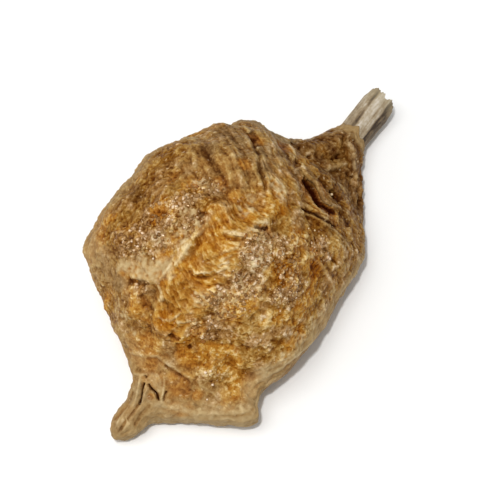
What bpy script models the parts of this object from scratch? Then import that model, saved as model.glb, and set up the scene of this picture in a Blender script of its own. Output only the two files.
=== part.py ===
"""A praying mantis egg case on its twig, modelled in Blender at its real size.

The case is one body of hardened foam laid round a cut length of twig. It swells into a dome over
the twig, narrows into a web of foam that clasps it, and ends in a blunt closed tip. +X runs along
the twig from that tip to the twig's broken end, +Y is the far side, and +Z is up. The origin is on
the resting surface, under the middle of the whole piece. Sizes and profiles are in millimetres.
"""
import bmesh
import bpy
import numpy as np
from mathutils import Matrix, Vector

MM = 0.001

# Driving sizes
CASE_LENGTH = 40.7
TWIG_REACH = 46.6
TWIG_START = 2.4
TWIG_RADIUS_START = 1.15
TWIG_RADIUS_END = 1.5
TWIG_CLEARANCE = 0.2
CHANNEL_END_GAP = 0.3
MIDDLE_X = TWIG_REACH / 2
MIDDLE_Y = 1.15

# The twig's axis as (x, y, z) where it starts inside the case and where it is broken off
TWIG_AXIS_START = (TWIG_START, 0.1, 1.7)
TWIG_AXIS_END = (TWIG_REACH, -0.6, 2.05)

# Fineness of the two lofts
STATIONS = 74
POINTS_AROUND = 60
TWIG_POINTS_AROUND = 26
DENSE_OUTLINE = 720
BASE_POINT_SHARE = 0.3

# The case's profiles along X, as (x, value): half widths, heights and how the sides are shaped
FAR_SIDE = [(0, 1.5), (3.0, 1.7), (4.8, 2.1), (6.2, 3.7), (8.2, 7.0), (10.6, 10.8), (12.8, 13.1),
            (15.5, 13.5), (20.0, 13.1), (25.0, 11.9), (29.5, 9.6), (32.3, 8.0), (33.6, 6.2),
            (34.4, 4.5), (36.5, 2.8), (39.0, 1.9), (CASE_LENGTH, 1.3)]
NEAR_SIDE = [(0, 1.5), (2.2, 1.9), (3.8, 3.8), (5.6, 6.9), (7.2, 9.5), (8.3, 10.8), (9.3, 10.3),
             (10.5, 9.5), (12.0, 9.6), (14.5, 10.7), (18.5, 11.3), (24.0, 10.3), (28.0, 9.1),
             (32.0, 7.2), (35.0, 5.5), (38.3, 3.6), (CASE_LENGTH, 2.5)]
CREST = [(0, 3.3), (2.5, 3.5), (4.2, 4.2), (6.2, 5.8), (8.0, 8.6), (10.5, 12.0), (14.0, 15.2),
         (18.5, 17.0), (23.0, 17.0), (27.5, 15.2), (30.5, 12.6), (32.6, 9.6), (33.8, 7.4),
         (35.5, 5.8), (38.0, 4.6), (CASE_LENGTH, 3.95)]
CREST_SHIFT = [(0, 0.1), (5, 0.2), (12, 0.9), (20, 2.0), (28, 4.4), (32, 4.2), (35, 1.8),
               (38, 0.1), (CASE_LENGTH, -0.6)]
FAR_WIDEST = [(0, 1.7), (3, 1.8), (6.5, 4.6), (10.5, 6.6), (16, 7.2), (24, 7.4), (31, 7.4),
              (34, 5.0), (37, 2.6), (CASE_LENGTH, 2.0)]
NEAR_RIM = [(0, 1.7), (3, 2.1), (6, 3.0), (9, 3.4), (12, 4.2), (16, 3.9), (22, 3.0), (28, 2.4),
            (34, 2.1), (CASE_LENGTH, 2.0)]
FAR_FULLNESS = 2.0
NEAR_FULLNESS = [(0, 2.0), (3, 2.0), (5.5, 1.0), (9, 0.95), (13, 1.45), (18, 1.8), (27, 1.8),
                 (31, 1.5), (33.5, 1.0), (37, 1.2), (39.5, 2.0), (CASE_LENGTH, 2.0)]
FAR_FOOT = [(0, 0.75), (4, 0.72), (8, 0.64), (14, 0.58), (26, 0.58), (33, 0.7),
            (CASE_LENGTH, 0.75)]
NEAR_FOOT = [(0, 0.75), (3, 0.86), (6, 0.95), (34, 0.95), (38, 0.85), (CASE_LENGTH, 0.75)]
UNDERSIDE_POWER = 3.2
BASE_DEPTH_GAIN = 1.07

# The blunt tip closes over this length, down to this share of its section
TIP_ROUNDING = 1.2
TIP_FACE_SHARE = 0.35
TIP_POWER = 2.2
TIP_STATIONS = (0, 0.1, 0.3, 0.65, 1.1)

# Folds of foam: plan points (x, y), half width and height above the skin
FOLDS = [
    # the pale ledge on the far side of the emergence band, its shelf and its tail
    ([(20.0, 1.5), (18.1, 1.4), (16.6, 1.8), (15.0, 2.0), (13.6, 2.2), (12.6, 2.4), (10.9, 2.8)],
     0.6, 0.6),
    ([(11.3, 8.1), (11.2, 6.7), (10.8, 5.0), (10.9, 3.4)], 0.75, 0.5),
    ([(10.9, 2.8), (10.5, 2.3), (9.9, 1.8)], 0.4, 0.3),
    # the lip round the pocket in the neck, and the ridge of the web
    ([(28.6, -1.2), (29.5, -2.2), (29.9, -3.6), (29.8, -5.0), (30.4, -6.2)], 0.75, 0.45),
    ([(40.0, -0.4), (38.8, -1.0), (37.7, -2.3), (36.9, -3.1)], 0.45, 0.35),
    # the fold across the blunt end, the ribs beside the three-cornered hollow, and the rim
    ([(6.1, 2.2), (6.4, 1.3), (6.7, 0.5), (6.9, -0.3), (6.7, -1.1), (6.7, -2.4), (6.7, -3.4)],
     0.55, 0.45),
    ([(5.0, 1.2), (4.2, 0.8), (3.4, 0.3)], 0.5, 0.25),
    ([(5.8, -1.1), (5.1, -1.4), (4.3, -1.9)], 0.5, 0.25),
    ([(3.5, -2.4), (4.5, -4.2), (5.4, -5.3), (6.7, -7.4), (8.0, -9.0)], 0.5, 0.35),
]

# Hollows: plan points (x, y), half width and depth below the skin
HOLLOWS = [
    ([(10.3, 8.0), (10.1, 6.5), (9.7, 5.0), (9.9, 3.8)], 0.6, 0.6),
    ([(28.0, -2.0), (28.0, -3.2), (27.9, -4.4), (28.3, -5.2), (28.9, -6.4)], 0.95, 1.1),
    ([(32.2, 2.6), (31.9, 0.2), (30.9, -3.0)], 0.9, 0.5),
    ([(5.4, 2.1), (5.4, 1.2), (5.7, 0.1), (6.1, -0.8), (6.0, -2.4)], 0.5, 0.3),
    ([(4.4, 0.0), (3.6, 0.0)], 0.8, 0.5),
    ([(9.9, -5.3), (9.9, -6.4), (10.4, -7.5), (10.5, -8.3)], 0.8, 0.45),
]

# The emergence band: centre line (x, y), half widths, and the flaps that lie across it
BAND_LINE = [(7.6, 0.4), (9.4, 0.3), (12.6, -0.1), (15.5, -0.5), (20.0, -0.7), (24.0, -1.1),
             (28.0, -1.3), (31.0, -0.9)]
BAND_HALF_WIDTH = [(7.6, 1.2), (10.5, 2.3), (15.0, 2.5), (20.0, 2.2), (24.0, 1.6), (31.0, 1.2)]
BAND_EDGE = (1.5, 0.5)
BAND_RISE = 0.55
FLAP_PITCH = 2.2
FLAP_RISE = 0.55
FLAP_BOW = 1.4

# The growth rings: chevrons that point at the tip along the band. Each side has its slant, and the
# length down the flank over which the slant wears off
RING_FROM = 8.0
RING_TO = 32.0
RING_PITCH = 2.85
RING_RISE = 0.36
RING_POINT = 1.2
FAR_SLANT = (0.85, 9.0)
NEAR_SLANT = (0.45, 14.0)

# The soft lumps of the foam, as (size, height, seed), and the heights between which they set in
LUMPS = [(4.2, 0.55, 3), (2.0, 0.25, 8)]
LUMPS_OVER = (3.6, 7.0)

# Where the surface detail fades out: above the base, and at the two ends
FADE_HEIGHTS = (0.4, 2.2)
FADE_TIP = (0.6, 2.4)
FADE_MOUTH = (1.6, 0.4)

FOAM_COLOUR = (0.40, 0.215, 0.068, 1.0)
TWIG_COLOUR = (0.37, 0.30, 0.22, 1.0)


def through(points, x):
    """A smooth curve through (x, value) points that never overshoots them."""
    xs, ys = np.array(points, float).T
    step = np.diff(xs)
    rise = np.diff(ys) / step
    slope = np.zeros(len(xs))
    weight_left = 2 * step[1:] + step[:-1]
    weight_right = step[1:] + 2 * step[:-1]
    same_way = rise[:-1] * rise[1:] > 0
    with np.errstate(divide="ignore", invalid="ignore"):
        mean = (weight_left + weight_right) / (weight_left / rise[:-1] + weight_right / rise[1:])
    slope[1:-1] = np.where(same_way, mean, 0)
    x = np.clip(x, xs[0], xs[-1])
    i = np.clip(np.searchsorted(xs, x) - 1, 0, len(step) - 1)
    t = (x - xs[i]) / step[i]
    return ((1 + 2 * t) * (1 - t) ** 2 * ys[i] + t * (1 - t) ** 2 * step[i] * slope[i]
            + t * t * (3 - 2 * t) * ys[i + 1] + t * t * (t - 1) * step[i] * slope[i + 1])


def smooth_step(value, low, high):
    """Rises smoothly from 0 at low to 1 at high, or the other way round where low is greater."""
    t = np.clip((value - low) / (high - low), 0, 1)
    return t * t * (3 - 2 * t)


def noise(points, size, seed):
    """Smooth noise in space, -1 to 1, with lumps of about this size."""
    cell = np.floor(points / size).astype(np.int64)
    local = points / size - cell
    blend = local * local * (3 - 2 * local)
    total = np.zeros(len(points))
    for corner in np.ndindex(2, 2, 2):
        key = (cell + corner) @ np.array([73856093, 19349663, 83492791]) + seed * 2654435761
        key = ((key ^ (key >> 13)) & 0xFFFFFFFF) * 1274126177 & 0xFFFFFFFF
        value = ((key ^ (key >> 16)) & 0xFFFF) / 0x8000 - 1
        total += value * np.prod(np.where(corner, blend, 1 - blend), axis=1)
    return total


def outline(x):
    """The case's section at x: an ellipse-like dome on a narrower flat foot, from the far side."""
    far, near = through(FAR_SIDE, x), through(NEAR_SIDE, x)
    crest, shift = through(CREST, x), through(CREST_SHIFT, x)
    angle = np.linspace(0, 2 * np.pi, DENSE_OUTLINE, endpoint=False)
    across, rise = np.cos(angle), np.sin(angle)
    on_far = across > 0
    reach = np.where(on_far, far - shift, near + shift)
    widest = np.where(on_far, through(FAR_WIDEST, x), through(NEAR_RIM, x))
    foot = np.where(on_far, through(FAR_FOOT, x), through(NEAR_FOOT, x))
    power = 2 / np.where(on_far, FAR_FULLNESS, through(NEAR_FULLNESS, x))
    under = 2 / UNDERSIDE_POWER
    depth = np.minimum(1, BASE_DEPTH_GAIN * np.abs(rise) ** under)
    upper_y = shift + reach * np.sign(across) * np.abs(across) ** power
    upper_z = widest + (crest - widest) * np.abs(rise) ** power
    foot_y = shift * (1 - depth)
    lower_reach = np.where(on_far, far - foot_y, near + foot_y) * (1 - (1 - foot) * depth)
    lower_y = foot_y + lower_reach * np.sign(across) * np.abs(across) ** under
    lower_z = widest * (1 - depth)
    y = np.where(rise >= 0, upper_y, lower_y)
    z = np.where(rise >= 0, upper_z, lower_z)
    return respaced(y, z)


def respaced(y, z):
    """Points spread evenly along a closed outline, with fewer of them on the flat base."""
    closed_y, closed_z = np.append(y, y[0]), np.append(z, z[0])
    length = np.hypot(np.diff(closed_y), np.diff(closed_z))
    on_base = (closed_z[:-1] + closed_z[1:]) / 2 < 1e-6
    walked = np.concatenate([[0], np.cumsum(length * np.where(on_base, BASE_POINT_SHARE, 1))])
    stops = np.linspace(0, walked[-1], POINTS_AROUND, endpoint=False)
    return np.stack([np.interp(stops, walked, closed_y), np.interp(stops, walked, closed_z)], 1)


def skin_height(x, y):
    """How high the bare dome stands over a plan point."""
    far, near = through(FAR_SIDE, x), through(NEAR_SIDE, x)
    crest, shift = through(CREST, x), through(CREST_SHIFT, x)
    on_far = y > shift
    reach = np.where(on_far, far - shift, near + shift)
    widest = np.where(on_far, through(FAR_WIDEST, x), through(NEAR_RIM, x))
    power = np.where(on_far, FAR_FULLNESS, through(NEAR_FULLNESS, x))
    across = np.clip(np.abs(y - shift) / reach, 0, 1) ** (power / 2)
    return widest + (crest - widest) * (1 - across ** 2) ** (1 / power)


def raised_path(plan_points, spacing=0.15):
    """Points close together along a plan line, raised onto the bare dome."""
    plan = np.array(plan_points, float)
    walked = np.concatenate([[0], np.cumsum(np.hypot(*np.diff(plan, axis=0).T))])
    stops = np.linspace(0, walked[-1], max(3, int(walked[-1] / spacing)))
    x, y = np.interp(stops, walked, plan[:, 0]), np.interp(stops, walked, plan[:, 1])
    return np.stack([x, y, skin_height(x, y)], 1), stops / walked[-1]


def fold(points, plan_points, half_width, height):
    """A rounded ridge that follows a line on the dome and thins out towards its two ends."""
    path, share = raised_path(plan_points)
    gap = np.linalg.norm(points[:, None] - path[None], axis=2)
    nearest = gap.argmin(axis=1)
    strength = np.clip(4 * share * (1 - share), 0, 1) ** 0.35
    return height * strength[nearest] * np.exp(-(gap.min(axis=1) / half_width) ** 2)


def saw(phase):
    """A run of overlapping edges: steep on the -X side of each and sloping away behind it."""
    part = phase - np.floor(phase)
    return smooth_step(part, 0, 0.3) * (1 - part)


def band(points):
    """The emergence band: a low ribbon along the crest, with bowed flaps lying across it."""
    path, _ = raised_path(BAND_LINE)
    gap = np.linalg.norm(points[:, None] - path[None], axis=2)
    nearest = gap.argmin(axis=1)
    walked = np.concatenate([[0], np.cumsum(np.linalg.norm(np.diff(path, axis=0), axis=1))])
    share = gap.min(axis=1) / through(BAND_HALF_WIDTH, path[nearest, 0])
    inside = smooth_step(share, BAND_EDGE[0], BAND_EDGE[1])
    ends = smooth_step(points[:, 0], BAND_LINE[0][0], BAND_LINE[0][0] + 2)
    flaps = saw((walked[nearest] - FLAP_BOW * share ** 2) / FLAP_PITCH)
    return inside * ends * (BAND_RISE + FLAP_RISE * flaps)


def rings(points):
    """Growth rings: chevrons that point at the tip and slant towards the mouth down both flanks."""
    centre = through(BAND_LINE, points[:, 0])
    side = np.hypot(points[:, 1] - centre, points[:, 2] - skin_height(points[:, 0], centre))
    bowed = np.hypot(side, RING_POINT) - RING_POINT
    on_far = points[:, 1] > centre
    slant = np.where(on_far, FAR_SLANT[0], NEAR_SLANT[0])
    wears_off = np.where(on_far, FAR_SLANT[1], NEAR_SLANT[1])
    along = points[:, 0] - slant * wears_off * np.tanh(bowed / wears_off)
    on_dome = smooth_step(points[:, 0], RING_FROM, RING_FROM + 3)
    on_dome = on_dome * smooth_step(points[:, 0], RING_TO, RING_TO - 3)
    return RING_RISE * on_dome * saw(along / RING_PITCH)


def relief(points):
    """How far the foam stands out from the bare dome at each point."""
    height = band(points) + rings(points)
    on_dome = smooth_step(points[:, 2], *LUMPS_OVER)
    for size, rise, seed in LUMPS:
        height += on_dome * rise * noise(points, size, seed)
    for line, half_width, rise in FOLDS:
        height += fold(points, line, half_width, rise)
    for line, half_width, depth in HOLLOWS:
        height -= fold(points, line, half_width, depth)
    ends = smooth_step(points[:, 0], *FADE_TIP)
    ends = ends * smooth_step(CASE_LENGTH - points[:, 0], FADE_MOUTH[1], FADE_MOUTH[0])
    return height * ends * smooth_step(points[:, 2], *FADE_HEIGHTS)


def tip_share(x):
    """How much of its section the blunt tip keeps at x."""
    closed = np.clip(1 - x / TIP_ROUNDING, 0, 1)
    return TIP_FACE_SHARE + (1 - TIP_FACE_SHARE) * (1 - closed ** TIP_POWER) ** (1 / TIP_POWER)


def case_grid():
    """Rings of points from the tip to the mouth, with the foam's relief pushed outwards."""
    body = np.linspace(TIP_STATIONS[-1], CASE_LENGTH, STATIONS - len(TIP_STATIONS) + 1)[1:]
    stations = np.concatenate([TIP_STATIONS, body])
    grid = np.zeros((STATIONS, POINTS_AROUND, 3))
    for i, x in enumerate(stations):
        section = outline(x)
        middle = np.array([TWIG_AXIS_START[1], TWIG_AXIS_START[2]])
        section = middle + (section - middle) * tip_share(x)
        grid[i, :, 0] = x
        grid[i, :, 1:] = section
    along = np.gradient(grid, axis=0)
    around = np.roll(grid, -1, axis=1) - np.roll(grid, 1, axis=1)
    outward = np.cross(around, along)
    outward /= np.linalg.norm(outward, axis=2, keepdims=True)
    height = relief(grid.reshape(-1, 3)).reshape(STATIONS, POINTS_AROUND, 1)
    return grid + outward * height


def twig_grid():
    """Rings of points along the twig: grooved bark, and an end broken into two prongs."""
    angle = np.linspace(0, 2 * np.pi, TWIG_POINTS_AROUND, endpoint=False)
    bark = 1 - 0.05 * (1 - np.cos(5 * angle + 0.6)) - 0.03 * (1 - np.cos(9 * angle))
    prongs = 0.5 * np.cos(angle - 0.9) + 0.35 * np.cos(3 * angle + 2.2)
    broken = 1.1 - 0.55 * (prongs - prongs.min()) / np.ptp(prongs) * 2
    shares = np.array([0, 0.004, 0.2, 0.45, 0.7, 0.85, 0.9, 0.95, 0.985, 1.0])
    start, end = np.array(TWIG_AXIS_START), np.array(TWIG_AXIS_END)
    rings = []
    for share in shares:
        radius = TWIG_RADIUS_START + (TWIG_RADIUS_END - TWIG_RADIUS_START) * share
        if share == shares[0]:
            radius *= 0.85
        pull_back = broken * smooth_step(share, 0.85, 1.0)
        centre = start + (end - start) * share
        rings.append(np.stack([centre[0] - pull_back,
                               centre[1] + radius * bark * np.cos(angle),
                               centre[2] + radius * bark * np.sin(angle)], 1))
    return np.array(rings)


def loft(name, grid, colour, roughness, end_point=None):
    """A closed body through rings of points; end_point closes the last ring over a raised point."""
    count, around, _ = grid.shape
    verts = [tuple(p) for p in ((grid.reshape(-1, 3) - (MIDDLE_X, MIDDLE_Y, 0)) * MM)]
    faces = []
    for i in range(count - 1):
        for j in range(around):
            k = (j + 1) % around
            faces.append((i * around + j, i * around + k, (i + 1) * around + k, (i + 1) * around + j))
    faces.append(tuple(reversed(range(around))))
    last = (count - 1) * around
    if end_point is None:
        faces.append(tuple(range(last, last + around)))
    else:
        verts.append(tuple((np.array(end_point) - (MIDDLE_X, MIDDLE_Y, 0)) * MM))
        for j in range(around):
            faces.append((last + j, last + (j + 1) % around, len(verts) - 1))
    mesh = bpy.data.meshes.new(name)
    mesh.from_pydata(verts, [], faces)
    outward_faces(mesh)
    mesh.shade_smooth()
    mesh.materials.append(material(name, colour, roughness))
    return bpy.data.objects.new(name, mesh)


def outward_faces(mesh):
    """Turns every face of a closed body to point out of it."""
    bm = bmesh.new()
    bm.from_mesh(mesh)
    bmesh.ops.recalc_face_normals(bm, faces=bm.faces)
    bm.to_mesh(mesh)
    bm.free()


def material(name, colour, roughness):
    """A plain finish with one colour and roughness."""
    made = bpy.data.materials.new(name)
    made.use_nodes = True
    shader = made.node_tree.nodes["Principled BSDF"]
    shader.inputs["Base Color"].default_value = colour
    shader.inputs["Roughness"].default_value = roughness
    shader.inputs["Metallic"].default_value = 0.0
    return made


def channel_cutter():
    """The tapered round channel that the foam left round the twig, open at the mouth."""
    start, end = Vector(TWIG_AXIS_START), Vector(TWIG_AXIS_END)
    along = (end - start).normalized()
    start = start - along * CHANNEL_END_GAP
    middle = (start + end) / 2 - Vector((MIDDLE_X, MIDDLE_Y, 0))
    mesh = bpy.data.meshes.new("twig_channel")
    bm = bmesh.new()
    bmesh.ops.create_cone(bm, cap_ends=True, segments=TWIG_POINTS_AROUND,
                          radius1=(TWIG_RADIUS_START + TWIG_CLEARANCE) * MM,
                          radius2=(TWIG_RADIUS_END + TWIG_CLEARANCE) * MM,
                          depth=(end - start).length * MM)
    turn = along.to_track_quat("Z", "Y").to_matrix().to_4x4()
    bmesh.ops.transform(bm, matrix=Matrix.Translation(middle * MM) @ turn, verts=bm.verts)
    bm.to_mesh(mesh)
    bm.free()
    cutter = bpy.data.objects.new("twig_channel", mesh)
    cutter.hide_render = True
    cutter.display_type = "WIRE"
    return cutter


def build():
    """The egg case with its channel, and the twig that lies in it."""
    for item in list(bpy.data.objects):
        bpy.data.objects.remove(item)
    parts = bpy.data.collections.new("mantis_egg_case")
    cutters = bpy.data.collections.new("cutters")
    bpy.context.scene.collection.children.link(parts)
    bpy.context.scene.collection.children.link(cutters)

    case = loft("egg_case", case_grid(), FOAM_COLOUR, 0.5)
    parts.objects.link(case)
    cutter = channel_cutter()
    cutters.objects.link(cutter)
    cut = case.modifiers.new("twig channel", "BOOLEAN")
    cut.operation = "DIFFERENCE"
    cut.solver = "EXACT"
    cut.object = cutter

    heart = Vector(TWIG_AXIS_END) - Vector((1.3, 0, 0))
    parts.objects.link(loft("twig", twig_grid(), TWIG_COLOUR, 0.75, end_point=heart))


build()
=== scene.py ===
"""The looks of a praying mantis egg case on its twig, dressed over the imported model.

Shapes are worked out in millimetres, in the maker's own axes: x along the twig from the blunt tip,
y to the far side and z up from the resting surface. They are moved to the model's frame and turned
into metres as they become meshes. Marks that the photograph shows are laid out in its own frame of
500 by 500 pixels and carried onto the foam by the camera's rays.
"""
from types import SimpleNamespace

import bpy
import numpy as np
from mathutils import Matrix, Vector


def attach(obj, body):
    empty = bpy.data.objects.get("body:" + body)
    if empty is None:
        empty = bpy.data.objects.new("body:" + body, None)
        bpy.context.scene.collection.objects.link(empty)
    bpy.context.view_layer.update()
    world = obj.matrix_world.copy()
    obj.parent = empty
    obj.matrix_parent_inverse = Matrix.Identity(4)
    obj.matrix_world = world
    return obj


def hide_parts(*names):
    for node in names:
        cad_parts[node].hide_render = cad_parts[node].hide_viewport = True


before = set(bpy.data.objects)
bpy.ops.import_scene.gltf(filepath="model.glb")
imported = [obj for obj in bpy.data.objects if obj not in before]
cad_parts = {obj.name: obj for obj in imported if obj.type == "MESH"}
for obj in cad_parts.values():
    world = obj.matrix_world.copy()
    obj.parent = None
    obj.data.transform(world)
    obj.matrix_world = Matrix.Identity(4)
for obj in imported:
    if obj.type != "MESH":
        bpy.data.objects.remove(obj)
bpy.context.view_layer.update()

MM = 0.001

# The case and the twig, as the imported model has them
CASE_LENGTH = 40.7
TWIG_REACH = 46.6
TWIG_START = 2.4
TWIG_RADIUS_START = 1.2
TWIG_RADIUS_END = 1.7
MIDDLE = np.array([TWIG_REACH / 2, 1.15, 0])
TWIG_AXIS_START = np.array([TWIG_START, 0.1, 1.7])
TWIG_AXIS_END = np.array([TWIG_REACH, -0.6, 2.05])

# The case's profiles along x, as (x, value): half widths, heights and how the sides are shaped
FAR_SIDE = [(0, 1.5), (3.0, 1.5), (4.8, 2.05), (6.2, 3.95), (8.2, 7.3), (10.6, 11.15), (12.8, 12.8),
            (15.5, 12.9), (18.5, 12.7), (21.5, 12.8), (24.5, 11.8), (28.0, 9.8), (29.5, 9.1),
            (32.3, 8.0), (33.6, 6.2), (34.4, 4.5), (36.5, 2.8), (39.0, 1.9), (CASE_LENGTH, 1.3)]
NEAR_SIDE = [(0, 1.3), (2.2, 1.65), (3.8, 3.7), (5.6, 7.0), (7.2, 9.75), (8.2, 10.5), (9.3, 9.6),
             (10.5, 9.4), (12.0, 9.75), (14.5, 10.4), (18.5, 10.5), (24.0, 9.9), (28.0, 9.45),
             (30.5, 8.4), (32.0, 7.2), (35.0, 5.3), (38.3, 3.05), (CASE_LENGTH, 2.35)]
CREST = [(0, 3.3), (2.5, 3.5), (4.2, 4.2), (6.2, 5.8), (8.0, 8.6), (10.5, 12.0), (14.0, 15.2),
         (18.5, 17.0), (23.0, 17.0), (27.5, 15.2), (30.5, 12.6), (32.6, 9.6), (33.8, 7.4),
         (35.5, 5.8), (38.0, 4.6), (CASE_LENGTH, 3.95)]
CREST_SHIFT = [(0, 0.1), (5, 0.2), (12, 0.9), (20, 2.0), (28, 4.4), (32, 4.2), (35, 1.8),
               (38, 0.1), (CASE_LENGTH, -0.6)]
FAR_WIDEST = [(0, 1.7), (3, 1.8), (6.5, 4.6), (10.5, 6.6), (16, 7.2), (24, 7.4), (31, 7.4),
              (34, 5.0), (37, 2.6), (CASE_LENGTH, 2.0)]
NEAR_RIM = [(0, 1.7), (3, 2.1), (6, 3.0), (9, 3.4), (12, 4.2), (16, 3.9), (22, 3.0), (28, 2.4),
            (34, 2.1), (CASE_LENGTH, 2.0)]
FAR_FULLNESS = 2.0
NEAR_FULLNESS = [(0, 2.0), (3, 2.0), (5.5, 1.0), (9, 0.95), (13, 1.45), (18, 1.8), (27, 1.8),
                 (31, 1.5), (33.5, 1.0), (37, 1.2), (39.5, 2.0), (CASE_LENGTH, 2.0)]
FAR_FOOT = [(0, 0.95), (4, 0.8), (8, 0.64), (14, 0.58), (26, 0.58), (33, 0.7),
            (CASE_LENGTH, 0.75)]
NEAR_FOOT = [(0, 0.75), (3, 0.86), (6, 0.95), (8.3, 1.02), (10.5, 0.95), (34, 0.95), (38, 0.85),
             (CASE_LENGTH, 0.75)]
UNDERSIDE_POWER = 3.2
BASE_DEPTH_GAIN = 1.07

# Swells of the bare case, and dents where the rise is below 0: middle (x, y), reach each way and
# rise. The first is the web round the pocket, and the others are the crest's notch with its bump.
# They fade out towards the foot, between the two heights.
SWELLS = [((32.4, -3.4), (1.9, 2.4), 1.7), ((28.3, 7.7), (1.0, 1.8), 0.55),
          ((30.05, 6.7), (0.85, 1.6), -1.0), ((25.5, 8.5), (1.3, 1.8), -1.25)]
SWELL_HEIGHTS = (2.2, 4.4)

# The blunt tip: the length that it closes over, how squarely it does so, and how much longer it is
# drawn out, between the two values of x
TIP_ROUNDING = 1.4
TIP_POWER = 1.5
TIP_STRETCH = 0.9
TIP_STRETCHED = (3.0, 0.0)

# Fineness of the case's body: rows in each stretch of x, and points round each row
TIP_ROWS = 12
BODY_ROWS = [(TIP_ROUNDING, 8.6, 105), (8.6, 31.0, 88), (31.0, CASE_LENGTH, 112)]
POINTS_AROUND = 300
DENSE_OUTLINE = 1440

# Points are spread thinner on the base, and on the far side below this share of the height
BASE_POINT_SHARE = 0.18
FAR_POINT_SHARE = 0.6
FAR_UNDERSIDE = 0.4

# Crusts: plates of finer foam laid on the body. Each has its stretch of x, its reach to the far
# and near side of the band's centre line, and its rows, points across and points underneath.
# FAR_RIM and NEAR_RIM_LINE stand for the widest line of the far side and the near side's brim.
FAR_RIM = "far"
NEAR_RIM_LINE = "near"
CRUSTS = {
    "band_crust": ((7.2, 31.8), 3.5, -3.3, (560, 118, 14)),
    "far_crust": ((7.6, 33.0), FAR_RIM, 1.6, (372, 240, 24)),
    "near_crust": ((7.6, 33.2), -1.4, NEAR_RIM_LINE, (372, 240, 24)),
}

# How far the crusts reach past the rims, how high they stand over the body, how deep and how wide
# their borders dip into it, and how thick they are
FAR_RIM_OVERLAP = 3.2
NEAR_RIM_OVERLAP = 0.35
CRUST_LIFT = 0.12
CRUST_SINK = 0.6
CRUST_BORDER = 0.9
CRUST_THICKNESS = 0.5

# Under the crusts the body is sunk by this much. The sinking grows between these places along the
# case at each end, and between these distances inside the near and the far edge.
BODY_SINK = 0.28
SUNK_FROM, SUNK_TO = (8.4, 9.6), (32.2, 31.0)
SUNK_NEAR, SUNK_FAR = (-0.1, 1.0), (-1, -2)

# The crusts' borders wander by this much, over this size, and their backs stay over this height
BORDER_WANDER, BORDER_SIZE = 0.35, 1.3
LOWEST_BACK = 0.3

# Detail fades out towards the base between these heights, and down to this share towards the
# mouth, over these distances from it
BASE_FADE = (0.05, 1.0)
MOUTH_FADE, MOUTH_DETAIL = (0.1, 0.9), 0.25

# How much wider a ridge is on its gentle side, how far depth counts in the width of a mark and
# how far a mark on a steep flank rises towards the view
LEAN = 1.7
DEPTH_SHARE = 0.35
TURN_TO_VIEW = 4.0

# Round the twig, the angle from +y to +z where the foam's lip reaches furthest along it, how
# much further than its middle, how far back its middle is, and a tongue of foam on the twig's top
LIP_FURTHEST = np.radians(17)
LIP_SLANT = 0.45
LIP_BACK = 0.5
LIP_TONGUE = (np.radians(100), np.radians(13), 0.5)
LIP_START = 38.6
LIP_RAGGED = 0.3

# How the lip curls over the wood and closes inside it: steps along x and inward, then the radii of
# its last two rings and how far back they lie
LIP_CURL = [(0.12, 0.1), (0.2, 0.3), (0.2, 0.6), (0.1, 0.85), (-0.1, 1.0)]
LIP_HEART = (0.8, 0.3)
LIP_DEPTH = 0.3
LIP_IN_WOOD = 0.25

# The near side's wall and the smooth strip along its brim: how far each reaches above the
# widest line
WALL_TOP = [(4.0, 0.35), (9.0, 0.35), (12.0, -0.1)]
BRIM = [(3.0, 0.5), (6.0, 0.9), (9.0, 1.1), (12.0, 2.2), (20.0, 2.5), (28.0, 1.9), (33.0, 0.8)]

# The photograph's view: direction, distance, what its middle looks at and its scale
VIEW_AZIMUTH = np.radians(-55.7)
VIEW_ELEVATION = np.radians(62.0)
VIEW_DISTANCE = 220.0
VIEW_AIM = np.array([22.25, 0.05, 4.7])
PHOTO_SIZE = 500
PIXEL = 0.1
SENSOR = 36.0

# The emergence band: centre line (x, y) along the crest, and its half width
BAND_LINE = [(6.5, 0.4), (9.4, 0.3), (12.6, -0.1), (15.5, -0.5), (20.0, -0.7), (24.0, -1.1),
             (28.0, -1.3), (31.5, -0.9)]
BAND_HALF_WIDTH = [(7.6, 1.2), (10.5, 2.3), (15.0, 2.5), (20.0, 2.2), (24.0, 1.6), (31.0, 1.2)]

# Where the parts of the case come in and go out. Starts and ends are two values of x, sides two
# distances from the band's line, the band's edge two shares of its half width, and the edges of
# the wall and the brim two heights over the widest line.
DOME_START, DOME_END = (6.6, 9.5), (32.6, 30.4)
BAND_EDGE = (1.35, 0.8)
BAND_LINES_END = (19, 22)
FAN_START, FAN_NEAR_SIDE, FAN_FAR_SIDE = (18.5, 21.5), (0.3, 1.6), (11, 7)
RINGS_START, RINGS_SIDE = (20, 25), (1.2, 3.5)
WALL_EDGE = (0.2, -0.2)
BRIM_EDGE, BRIM_END = (0.4, -0.5), (35, 30)
NECK_START = (30.0, 32.6)
TIP_END = (5.2, 3.6)
BLUNT_END = (9.0, 6.5)

# The softest forms: height, size and seed of each kind of lump, and the raised band
SOLID_LUMPS = [(0.55, 4.2, 3), (0.25, 2.0, 8)]
LUMPS_COME_IN = (3.6, 7.0)
SMALL_LUMP = 0.12
BAND_RISE = 0.45
BAND_RISE_END = (26, 20)

# Lines of growth: how far those on the far and near flank lean to +x and over what distance, and
# how softly they bow over the band
FAR_LEAN, NEAR_LEAN = (0.85, 9), (0.45, 14)
BOW = 1.2

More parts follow.
